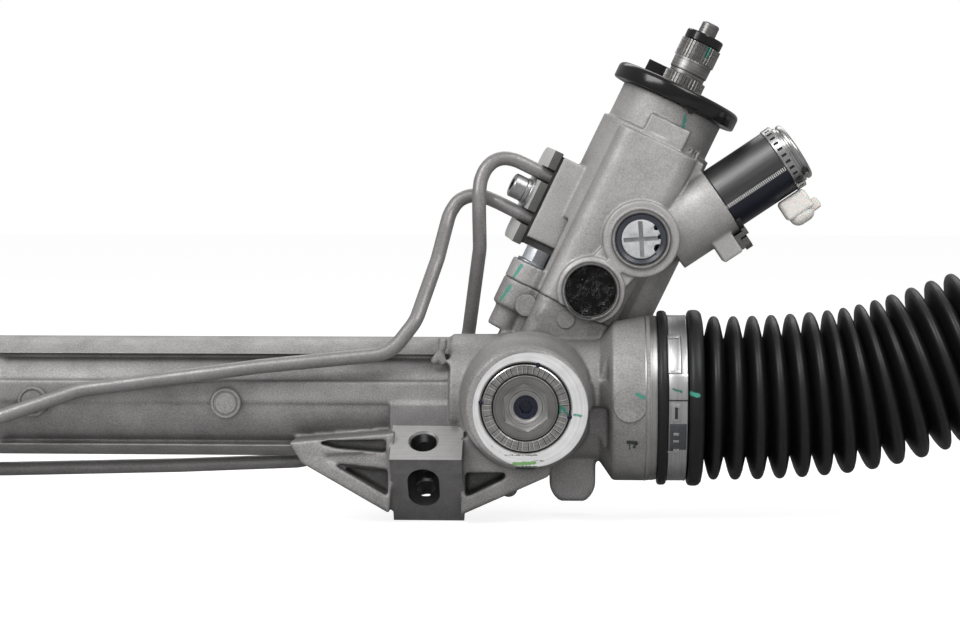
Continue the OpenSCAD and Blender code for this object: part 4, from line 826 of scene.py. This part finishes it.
finish_piece(face, "housing", [CLOUDY, CLOUDY_DEEP])
lower = to_object("plug_black", turned([(0, 26), (10.4, 26), (10.4, 32.4), (10.0, 32.7), (7.0, 32.3), (0, 32.5)], 96),
    port_frame(2.9, 51.8))
finish_piece(lower, "housing", GLOSS_PLUG, ["port_plug_lower"])

# Bellows: folds are spun straight, then follow the centre line
FOLDS_START = 19.5
FOLD_PITCH = 8.6
FOLDS = 17
CREST, VALLEY = 34.2, 24.5
FOLDS_END = FOLDS_START + FOLDS * FOLD_PITCH
BELLOWS_END = FOLDS_END + 14
WALL = 1.6
FOLD = [(0, 0), (0.05, 0.1), (0.14, 0.42), (0.21, 0.68), (0.28, 0.86), (0.35, 0.95), (0.42, 0.99), (0.5, 1),
    (0.58, 0.99),
        (0.65, 0.95), (0.72, 0.86), (0.79, 0.68), (0.86, 0.42), (0.95, 0.1)]


def lean_at(s, bent):
    if not bent or s < 27:
        return 0.0
    if s < 73:
        return 6.5 * (s - 27) / 46
    if s < 108:
        return 6.5 + 13.5 * (s - 73) / 35
    return 20.0


def centre_table(bent, step=0.5):
    x = z = 0.0
    table = [(0.0, 0.0)]
    for k in range(int(220 / step)):
        a = math.radians(lean_at((k + 0.5) * step, bent))
        x, z = x + step * math.cos(a), z + step * math.sin(a)
        table.append((x, z))
    return table


def centre_at(s, table, step=0.5):
    k = s / step
    i = max(0, min(int(k), len(table) - 2))
    f = k - i
    return [a + (b - a) * f for a, b in zip(table[i], table[i + 1])]


def bellows_part(name, rows, place, bent, body=None, blend=None):
    """rows are (distance, radius) of the outer wall; the inner one lies a wall's thickness inside."""
    inner = [(s, r - WALL) for s, r in reversed(rows)]
    bm = turned([(r, s) for s, r in rows + inner], 88)
    if bent:
        table = centre_table(True)
        end = centre_at(BELLOWS_END, table)
        gap = (end[0] - (BALL_RIGHT - END_RIGHT)) * math.tan(math.radians(ROD_LEAN)) - end[1]
        for v in bm.verts:
            s, h, w = v.co.z, -v.co.x, v.co.y
            c = centre_at(max(s, 0), table)
            a = math.radians(lean_at(s, True))
            off = gap * min(1, max(0, (s - 108) / 60))
            v.co = Vector((-(c[1] + off + h * math.cos(a)), w, c[0] - h * math.sin(a) + min(s, 0)))
    obj = to_object(name, bm, place, 60)
    obj.data.materials.append(RUBBER)
    if blend:
        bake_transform(obj)
    else:
        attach(obj, body)
    return obj


def fold_rows(first, last):
    """Outer wall from fold number first to last, where both end in a valley."""
    rows = [(FOLDS_START + (i + f) * FOLD_PITCH, VALLEY + (CREST - VALLEY) * out)
            for i in range(first, last) for f, out in FOLD]
    return rows + [(FOLDS_START + last * FOLD_PITCH, VALLEY)]


def row_point(place, s, bent):
    c = centre_at(s, centre_table(bent))
    return (place @ Vector((-c[1], 0, c[0]))) * MM


for side, place, bent in (("right", RIGHT_END, True), ("left", LEFT_END, False)):
    rod = "tie_rod_" + side
    seat = "seat_" + side
    cuff = to_object("bellows_cuff_" + side, turned([
        (31.55, 0.1), (35.7, 0.15), (36.3, 0.6), (36.5, 1.6), (36.4, 3.0), (35.8, 3.8), (34.3, 4.0), (33.9, 4.3), (33.9,
            12.2),
        (34.3, 12.5), (35.6, 12.6), (36.5, 13.2), (36.8, 14.4), (36.8, 16.2), (36.4, 17.4), (35.4, 18.3), (33,
            18.8), (28, 19.1),
        (24.6, 19.5), (23, 19.5),
        (24.5, 18.0), (31, 16.5), (32.4, 14), (32.4, 11.2), (31.55, 10.8)], 112), place, 60)
    finish_piece(cuff, "housing", RUBBER, ["bellows_" + side])
    cut_a, cut_b = 10, 13
    a, b = (FOLDS_START + n * FOLD_PITCH for n in (cut_a, cut_b))
    bellows_part("bellows_slide_" + side, fold_rows(0, cut_a), place, bent,
                 blend=("housing", "rack", row_point(place, FOLDS_START, bent), row_point(place, a, bent)))
    bellows_part("bellows_swing_" + side, fold_rows(cut_a, cut_b), place, bent,
                 blend=("rack", seat, row_point(place, a, bent), row_point(place, b, bent)))
    end = fold_rows(cut_b, FOLDS)[:-1] + [(FOLDS_END, VALLEY - 1.2), (FOLDS_END + 2.2, 19), (FOLDS_END + 4.2, 12.4),
          (FOLDS_END + 5.6, 10.5), (FOLDS_END + 12.6, 10.5), (FOLDS_END + 13.6, 11.0), (BELLOWS_END, 10.2)]
    bellows_part("bellows_end_" + side, end, place, bent,
                 blend=(seat, rod, row_point(place, b, bent), row_point(place, FOLDS_END, bent)))

# Clamp bands: a flat strip with turned-up edges, a pressed ear, a step, a slot and hooks
def sector(bm, r1, r2, low, high, start, end):
    """A piece of a ring, between two angles in degrees above the front."""
    steps = max(3, int(abs(end - start) / 2))
    profile = [bm.verts.new((r, 0, z)) for r, z in ((r1, low), (r2, low), (r2, high), (r1, high))]
    loop = [bm.edges.new((a, b)) for a, b in zip(profile, profile[1:] + profile[:1])]
    first = bm.faces.new(profile)
    turned_back = Matrix.Rotation(math.radians(-90 - start), 4, "Z")
    bmesh.ops.rotate(bm, cent=(0, 0, 0), matrix=turned_back.to_3x3(), verts=profile)
    made = bmesh.ops.spin(bm, geom=profile + loop, cent=(0, 0, 0), axis=(0, 0, 1), angle=math.radians(start - end),
        steps=steps)
    last = [g for g in made["geom_last"] if isinstance(g, bmesh.types.BMVert)]
    bmesh.ops.contextual_create(bm, geom=last)
    return first


def clamp_band(side, place):
    band = turned([(33.95, 4.0), (34.6, 4.0), (34.8, 4.3), (34.62, 4.8), (34.6, 11.0), (34.8, 11.5), (34.6, 11.9),
        (33.95, 11.9)], 144)
    for low, high, start, end in ((3.6, 9.0, 52.2, 49.2), (3.6, 4.5, 49.7, 22.4), (8.1, 9.0, 49.7, 22.4),
            (3.6, 9.0, 23.6, 21.4)):
        sector(band, 34.4, 35.35, low, high, start, end)
    sector(band, 34.3, 35.0, 4.2, 11.8, 21.4, 3.9)
    sector(band, 34.3, 34.95, 5.1, 9.3, 1.4, -11.2)
    obj = round_edges(to_object("clamp_band_" + side, band, place), 0.14)
    finish_piece(obj, "housing", BAND, ["large_clamp_" + side])
    dark = bmesh.new()
    sector(dark, 34.5, 35.02, 6.6, 7.8, -1.2, -8.8)
    sector(dark, 34.4, 35.3, 3.3, 3.62, 50.6, 21.6)
    sector(dark, 34.4, 35.3, 8.98, 9.2, 50.6, 21.6)
    sector(dark, 34.2, 35.02, 4.3, 11.7, 3.8, 3.1)
    finish_piece(to_object("band_slots_" + side, dark, place), "housing", DARK_STEEL)
    under = bmesh.new()
    sector(under, 34.2, 34.9, 4.6, 11.4, -12.5, -32)
    finish_piece(round_edges(to_object("band_ear_" + side, under, place), 0.15), "housing", EAR)
    hooks = bmesh.new()
    sector(hooks, 34.6, 36.0, 5.9, 8.3, -17.9, -19.9)
    sector(hooks, 34.6, 36.0, 5.9, 8.3, -23.1, -25.0)
    sector(hooks, 34.4, 36.0, 6.0, 8.4, -30.0, -33.4)
    sector(hooks, 34.4, 35.4, 3.8, 6.4, -32.4, -34.4)
    for low, high, start, end in ((6.0, 8.4, 0.2, -0.9), (6.0, 6.5, -0.9, -9.2), (7.9, 8.4, -0.9, -9.2),
            (6.0, 8.4, -9.1, -10.4)):
        sector(hooks, 34.5, 35.25, low, high, start, end)
    finish_piece(round_edges(to_object("band_hooks_" + side, hooks, place), 0.4), "housing", BRIGHT)


clamp_band("right", RIGHT_END)
clamp_band("left", LEFT_END)


# Pipes: the same routes as in the part's source, with round bends
PIPE_R = 3.0


def rounded(points, radius):
    path = [Vector(points[0])]
    for before, here, after in zip(points, points[1:], points[2:]):
        before, here, after = Vector(before), Vector(here), Vector(after)
        a, b = (before - here).normalized(), (after - here).normalized()
        half = a.angle(b) / 2
        reach = min(radius / math.tan(half), (before - here).length * 0.48, (after - here).length * 0.48)
        start, end = here + a * reach, here + b * reach
        for k in range(17):
            f = k / 16
            path.append((1 - f) ** 2 * start + 2 * f * (1 - f) * here + f * f * end)
    return path + [Vector(points[-1])]


def pad_point(x, t):
    return tuple(at(0.7, TOWER_Y, 0) @ turn(TOWER_LEAN, "Y") @ Vector((-x, 0, t)))


def pipe(name, points, material, node):
    curve = bpy.data.curves.new(name, "CURVE")
    curve.dimensions = "3D"
    curve.bevel_depth = PIPE_R * MM
    curve.bevel_resolution = 7
    curve.use_fill_caps = True
    path = rounded(points, 15)
    spline = curve.splines.new("POLY")
    spline.points.add(len(path) - 1)
    for point, p in zip(spline.points, path):
        point.co = (*((RACK + p) * MM), 1)
    holder = bpy.data.objects.new(name + "_curve", curve)
    bpy.context.scene.collection.objects.link(holder)
    graph = bpy.context.evaluated_depsgraph_get()
    mesh = bpy.data.meshes.new_from_object(holder.evaluated_get(graph))
    bpy.data.objects.remove(holder)
    obj = bpy.data.objects.new(name, mesh)
    bpy.context.scene.collection.objects.link(obj)
    shade(mesh, 50)
    finish_piece(obj, "housing", material, [node])


REAR_BOSS = (-402.6, 12.5, -35.0)
FRONT_BOSS = (-240.6, -35.1, -7.6)
pipe("pipe_a", [pad_point(24, 86.5), pad_point(37, 86.5), (-1.4, 16.8, 97.2), (-6.2, 16.4, 99.5), (-11.2, 16, 100.5),
                (-15.6, 15.2, 99.2), (-19, 14, 95.8), (-21, 12.6, 91), (-21.6, 11, 85), (-21.5, 10.5, 77), (-21.4, 14,
                    62), (-27, 31, 26),
                (-32, 32.5, 0), (-60, 27, -19), (-98, 11, -29), (-150, 9, -31), (-224, 9, -33),
                (REAR_BOSS[0] + 60, REAR_BOSS[1], REAR_BOSS[2]), (REAR_BOSS[0] + 3, REAR_BOSS[1],
                    REAR_BOSS[2])], PIPE, "pipe_upper")
pipe("pipe_b", [pad_point(24, 67), pad_point(37, 67), (-14, 19.5, 81.6), (-20.5, 21.5, 84.3), (-26, 22, 84.6),
    (-31, 21.5, 82.4),
                (-34.6, 19.6, 77), (-36.2, 15, 70), (-38.5, 2, 58), (-46, -20, 33),
                (-56, -26, 20), (-110, -26.5, 14.5), (-184, -27.5, 4.6), (FRONT_BOSS[0] + 20, FRONT_BOSS[1],
                    FRONT_BOSS[2]),
                (FRONT_BOSS[0] + 3, FRONT_BOSS[1], FRONT_BOSS[2])], PIPE, "pipe_lower")

# Dust cap
cap = turned([(9.6, 137.4), (24.6, 137.4), (25.2, 136.82), (27.1, 136.82), (27.66, 137.3), (27.7, 141.6), (27.5, 142.6),
    (26.9, 143.4),
              (26.0, 143.85), (24.6, 143.98), (22.4, 143.6), (21.4, 142.7), (13.4, 142.4), (12.6, 143.6), (9.8,
                  143.6)], 144)
add_box(cap, (-17.2, 6.6, 142), (-7.6, 11.6, 150.2))
pointer = prism([(4.6, 137.2), (6.9, 134.7), (8.1, 134.7), (10.4, 137.2)], -27.5, -25.0)
pointer_mesh = bpy.data.meshes.new("pointer")
pointer.to_mesh(pointer_mesh)
cap.from_mesh(pointer_mesh)
disc = round_edges(to_object("dust_disc", cap, TOWER), 0.3)
finish_piece(disc, "housing", PLASTIC, ["dust_cap"])


# Input shaft
def serrated(bm, low, high, root, crest, count, hole=0.0):
    """A splined length: a circle whose points alternate between root and crest, pulled along Z."""
    made = bmesh.ops.create_circle(bm, cap_ends=True, segments=count * 4, radius=crest)
    for v in made["verts"]:
        k = round(math.atan2(v.co.y, v.co.x) / (2 * math.pi) * count * 4) % 4
        if k in (1, 2):
            v.co *= root / crest
        v.co.z = low
    face = list({f for v in made["verts"] for f in v.link_faces})
    pulled = bmesh.ops.extrude_face_region(bm, geom=face)
    bmesh.ops.translate(bm, vec=(0, 0, high - low),
        verts=[g for g in pulled["geom"] if isinstance(g, bmesh.types.BMVert)])


shaft = turned([(0, 60), (9.18, 60), (9.18, 142.9), (8.5, 143.2), (8.5, 149.2), (7.7, 149.6), (7.7, 151.0),
    (8.2, 151.5), (8.28, 156.4),
                (8.1, 156.7), (8.1, 164.3), (6.5, 164.5), (6.4, 168.6), (3.85, 168.6), (3.85, 173.4), (3.3, 174), (0,
                    174)], 96)
serrated(shaft, 156.7, 164.3, 8.15, 8.75, 36)
serrated(shaft, 143.3, 149.2, 8.55, 9.05, 36)
shaft_piece = to_object("splined_shaft", shaft, TOWER)
cut_away(shaft_piece, box_of((-5, -0.6, 171), (5, 0.6, 176)), TOWER)
finish_piece(shaft_piece, "input_shaft", SHAFT, ["input_shaft"])
end_ring = turned([(6.45, 164.55), (7.7, 164.55), (8.15, 164.9), (8.2, 168.0), (7.8, 168.55), (6.45, 168.6)], 72)
finish_piece(to_object("shaft_end_ring", end_ring, TOWER), "input_shaft", PLASTIC, ["shaft_ring"])

# Solenoid
can = turned([(0, 0.1), (13.6, 0.1), (14.0, 0.5), (14.0, 29.0), (14.15, 29.2), (14.5, 29.4), (14.5, 33.3), (14.2, 33.5),
    (0, 33.5)], 128)
can_piece = to_object("can_shell", can, SOLENOID)
windows = bmesh.new()
for k in range(30):
    add_box(windows, (13.8, -0.55, 30.2), (15, 0.55, 32.4), turn(12 * k, "Z"))
cut_away(can_piece, windows, SOLENOID)
for p in can_piece.data.polygons:
    centre = SOLENOID.inverted() @ (p.center / MM)
    p.material_index = 1 if centre.z > 29.1 else 0
    if centre.z > 29.1 and centre.xy.length < 14.1 and centre.z < 33:
        p.material_index = 2
finish_piece(can_piece, "housing", [CAN, ZINC, DARK_STEEL], ["solenoid_can"])
top = turned([(0, 33.5), (12.8, 33.5), (12.8, 34.6), (12.4, 34.9), (11.9, 34.9), (11.9, 35.5), (12.6, 35.6),
    (12.8, 36.0), (12.8, 36.9),
              (12.4, 37.5), (11.6, 37.9), (10.4, 38.08), (0, 38.1)], 96)
finish_piece(to_object("can_cap", top, SOLENOID), "housing", CAP, ["solenoid_cap"])
plug_place = SOLENOID @ at(14.5, 0, 25) @ turn(90, "Y")
plug = bmesh.new()
for low, high, soft in (((-6.3, -5.4, 0), (6.3, 5.4, 9), 1.8), ((-5.4, -4.8, 4), (5.4, 4.8, 13), 3.6),
        ((-9, -2, 6), (-4, 2, 11), 1.2)):
    piece = box_of(low, high)
    bmesh.ops.bevel(piece, geom=list(piece.edges), offset=soft, segments=5, profile=0.5, affect="EDGES")
    mesh = bpy.data.meshes.new("soft_box")
    piece.to_mesh(mesh)
    piece.free()
    plug.from_mesh(mesh)
    bpy.data.meshes.remove(mesh)
finish_piece(to_object("connector_body", plug, plug_place, 50), "housing", NYLON,
    ["solenoid_connector"])
crisp("solenoid_clamp", "housing", GREY_STEEL, 0.3)

# Union: the plate's outer face leans towards the front, and its two slots are open there
def leaned(y):
    return -35.7 - 5.2 * (y + 12) / 24


plate_low, plate_high = 55.4, 97.6
plate = bmesh.new()
corner = [plate.verts.new((x, y, plate_low)) for x, y in ((-32.3, -12), (leaned(-12), -12), (leaned(12), 12),
    (-32.3, 12))]
pulled = bmesh.ops.extrude_face_region(plate, geom=[plate.faces.new(corner)])
bmesh.ops.translate(plate, vec=(0, 0, plate_high - plate_low),
    verts=[g for g in pulled["geom"] if isinstance(g, bmesh.types.BMVert)])
back = [e for e in plate.edges if all(v.co.y > 11.9 for v in e.verts) and abs(e.verts[0].co.z - e.verts[1].co.z) < 0.1]
bmesh.ops.bevel(plate, geom=back, offset=5, segments=8, profile=0.5, affect="EDGES")
plate_piece = to_object("union_wedge", plate, TOWER)
for t in (86.5, 67):
    cut_away(plate_piece, box_of((-45, -16, t - 3.2), (-28, 0, t + 3.2)), TOWER)
    cut_away(plate_piece, drum_of(3.2, 25, 48), TOWER @ at(0, 0, t) @ turn(-90, "Y"))
round_edges(plate_piece, 0.5, 3)
outward = TOWER.to_3x3() @ Vector((-0.977, -0.212, 0))
for p in plate_piece.data.polygons:
    p.material_index = 0 if p.normal.dot(outward) > 0.9 else 1
finish_piece(plate_piece, "housing", [PALE_ZINC, GREY_STEEL], ["union_plate"])
# Painted shadow: a thin black sheet between the plate and the pad darkens their joint.
finish_piece(to_object("union_joint_shadow", box_of((-32.4, -10.8, 56.6), (-31.1, 10.8, 96.4)), TOWER), "housing", SEAL)
on_plate = TOWER @ at(leaned(-1), -1, 76.75) @ turn(12.2, "Z") @ turn(-90, "Y")
bolt = turned([(0, -0.4), (6.5, -0.4), (6.6, -0.1), (6.6, 1.0), (6.3, 1.3), (5.3, 1.35), (5.3, 1.6), (5.5, 1.8),
    (5.5, 2.9), (5.2, 3.1), (4.9, 3.15),
               (5.2, 3.4), (5.2, 8.1), (4.7, 8.6), (0, 8.6)], 72)
bolt_piece = to_object("union_screw", bolt, on_plate)
tool = bmesh.new()
bmesh.ops.create_cone(tool, cap_ends=True, segments=6, radius1=2.9, radius2=2.9, depth=7)
cut_away(bolt_piece, tool, on_plate @ at(0, 0, 8.6))
for p in bolt_piece.data.polygons:
    centre = on_plate.inverted() @ (p.center / MM)
    p.material_index = 1 if centre.xy.length < 3 and centre.z < 8.3 else 0
finish_piece(bolt_piece, "housing", [ZINC, DARK_STEEL], ["union_bolt"])
# Pieces whose CAD shape is right: they only get softened edges
crisp("flange_bolts", "housing", BLUE_ZINC, 0.3)
for side in ("right", "left"):
    crisp("tie_rod_" + side, "tie_rod_" + side, ZINC, 0.25)
    crisp("jam_nut_" + side, "tie_rod_" + side, ZINC, 0.4)
    crisp("small_clamp_" + side, "tie_rod_" + side, BAND, 0.15)

# Finishes of the CAD nodes that show as they are, or hide inside
SLOT_FINISH = {
    "cast_aluminium": CAST, "zinc_steel": ZINC, "bright_steel": BRIGHT, "grey_steel": GREY_STEEL,
    "dark_steel": DARK_STEEL, "gunmetal": CAN, "pipe_steel": PIPE, "stainless_band": BAND, "seal_rubber": SEAL,
    "bellows_rubber": RUBBER, "black_plastic": PLASTIC, "white_plastic": NYLON, "clear_plastic": CLOUDY,
    "brown_ptfe": BROWN}
slots = {part["node"]: part["material_slot"] for part in frame["record"]["subparts"]}
for node, obj in frame["nodes"].items():
    # The adjuster screw gets the painted hole shade.
    material = {"yoke_lock_ring": LOCK_RING, "adjuster_screw": HOLE_SHADE}.get(node, SLOT_FINISH[slots[node]])
    if not obj.data.materials:
        obj.data.materials.append(material)
    for index in range(len(obj.data.materials)):
        obj.data.materials[index] = material


# Floor, background, lights and camera
world = bpy.data.worlds.new("studio")
bpy.context.scene.world = world
world.use_nodes = True
tree = world.node_tree
background = tree.nodes["Background"]
background.inputs["Color"].default_value = (1, 1, 1, 1)
background.inputs["Strength"].default_value = 1.0
rise = tree.nodes.new("ShaderNodeSeparateXYZ")
wire(tree, tree.nodes.new("ShaderNodeTexCoord").outputs["Generated"], rise.inputs[0])
sky = ranged(tree, rise.outputs[2], -1.0, 1.0, 0.2, 0.42)
wire(tree, sky, background.inputs["Strength"])
white = tree.nodes.new("ShaderNodeBackground")
white.inputs["Color"].default_value = (1, 1, 1, 1)
white.inputs["Strength"].default_value = 1.0
path = tree.nodes.new("ShaderNodeLightPath")
mix = tree.nodes.new("ShaderNodeMixShader")
seen = maths(tree, "MAXIMUM", path.outputs["Is Camera Ray"], path.outputs["Is Transmission Ray"])
wire(tree, seen, mix.inputs[0])
wire(tree, background.outputs[0], mix.inputs[1])
wire(tree, white.outputs[0], mix.inputs[2])
wire(tree, mix.outputs[0], tree.nodes["World Output"].inputs[0])

floor_bm = bmesh.new()
bmesh.ops.create_grid(floor_bm, x_segments=1, y_segments=1, size=6000)
floor = to_object("floor", floor_bm, at(0, 0, cad_box[0][2] / MM - 0.5))
floor_finish = Finish("pale_floor", 0.0, 0.8, (0.8, 0.8, 0.8))
floor_finish.shader.inputs["Emission Color"].default_value = (1, 1, 1, 1)
ray = floor_finish.tree.nodes.new("ShaderNodeLightPath")
glow = floor_finish.tree.nodes.new("ShaderNodeEmission")
glow.inputs["Strength"].default_value = 1.4
camera_ray = ray.outputs["Is Camera Ray"]
floor_finish.colour(blend_colour(floor_finish.tree, camera_ray, (0.3, 0.3, 0.3), (0.9, 0.9, 0.9)))
shadowed = floor_finish.tree.nodes.new("ShaderNodeMixShader")
wire(floor_finish.tree, maths(floor_finish.tree, "MULTIPLY", camera_ray, 0.6), shadowed.inputs[0])
wire(floor_finish.tree, floor_finish.shader.outputs[0], shadowed.inputs[1])
wire(floor_finish.tree, glow.outputs[0], shadowed.inputs[2])
wire(floor_finish.tree, shadowed.outputs[0], floor_finish.tree.nodes["Material Output"].inputs[0])
floor.data.materials.append(floor_finish.material)


def softbox(name, place, target, width, height, watts):
    light = bpy.data.lights.new(name, "AREA")
    light.shape = "RECTANGLE"
    light.size, light.size_y = width, height
    light.energy = watts
    obj = bpy.data.objects.new(name, light)
    obj.location = place
    obj.rotation_euler = (Vector(target) - Vector(place)).to_track_quat("-Z", "Y").to_euler()
    bpy.context.scene.collection.objects.link(obj)
    return obj


softbox("key_above_left", (-0.8, -0.9, 1.1), (0, 0, 0.05), 0.9, 0.7, 14)
softbox("key_above_right", (0.8, -0.7, 1.2), (0.05, 0, 0.05), 0.8, 0.8, 10)
softbox("front_fill", (0.1, -1.8, 0.3), (0, 0, 0.04), 1.2, 0.7, 13).visible_glossy = False
softbox("back_top", (0, 1.1, 1.2), (0, 0, 0.05), 1.6, 0.6, 7)

AIM = (RACK + Vector((-20.6, 0, 32.3))) * MM
AZIMUTH, ELEVATION, DISTANCE = math.radians(3), math.radians(3.4), 0.9
camera_data = bpy.data.cameras.new("camera")
camera_data.lens = 80.36
camera_data.sensor_width = 36
camera_data.clip_start, camera_data.clip_end = 0.01, 50
camera = bpy.data.objects.new("camera", camera_data)
camera.location = AIM + DISTANCE * Vector((math.sin(AZIMUTH) * math.cos(ELEVATION),
                                           -math.cos(AZIMUTH) * math.cos(ELEVATION), math.sin(ELEVATION)))
camera.rotation_euler = (AIM - camera.location).to_track_quat("-Z", "Y").to_euler()
bpy.context.scene.collection.objects.link(camera)
bpy.context.scene.camera = camera
bpy.context.scene.view_settings.view_transform = "Standard"
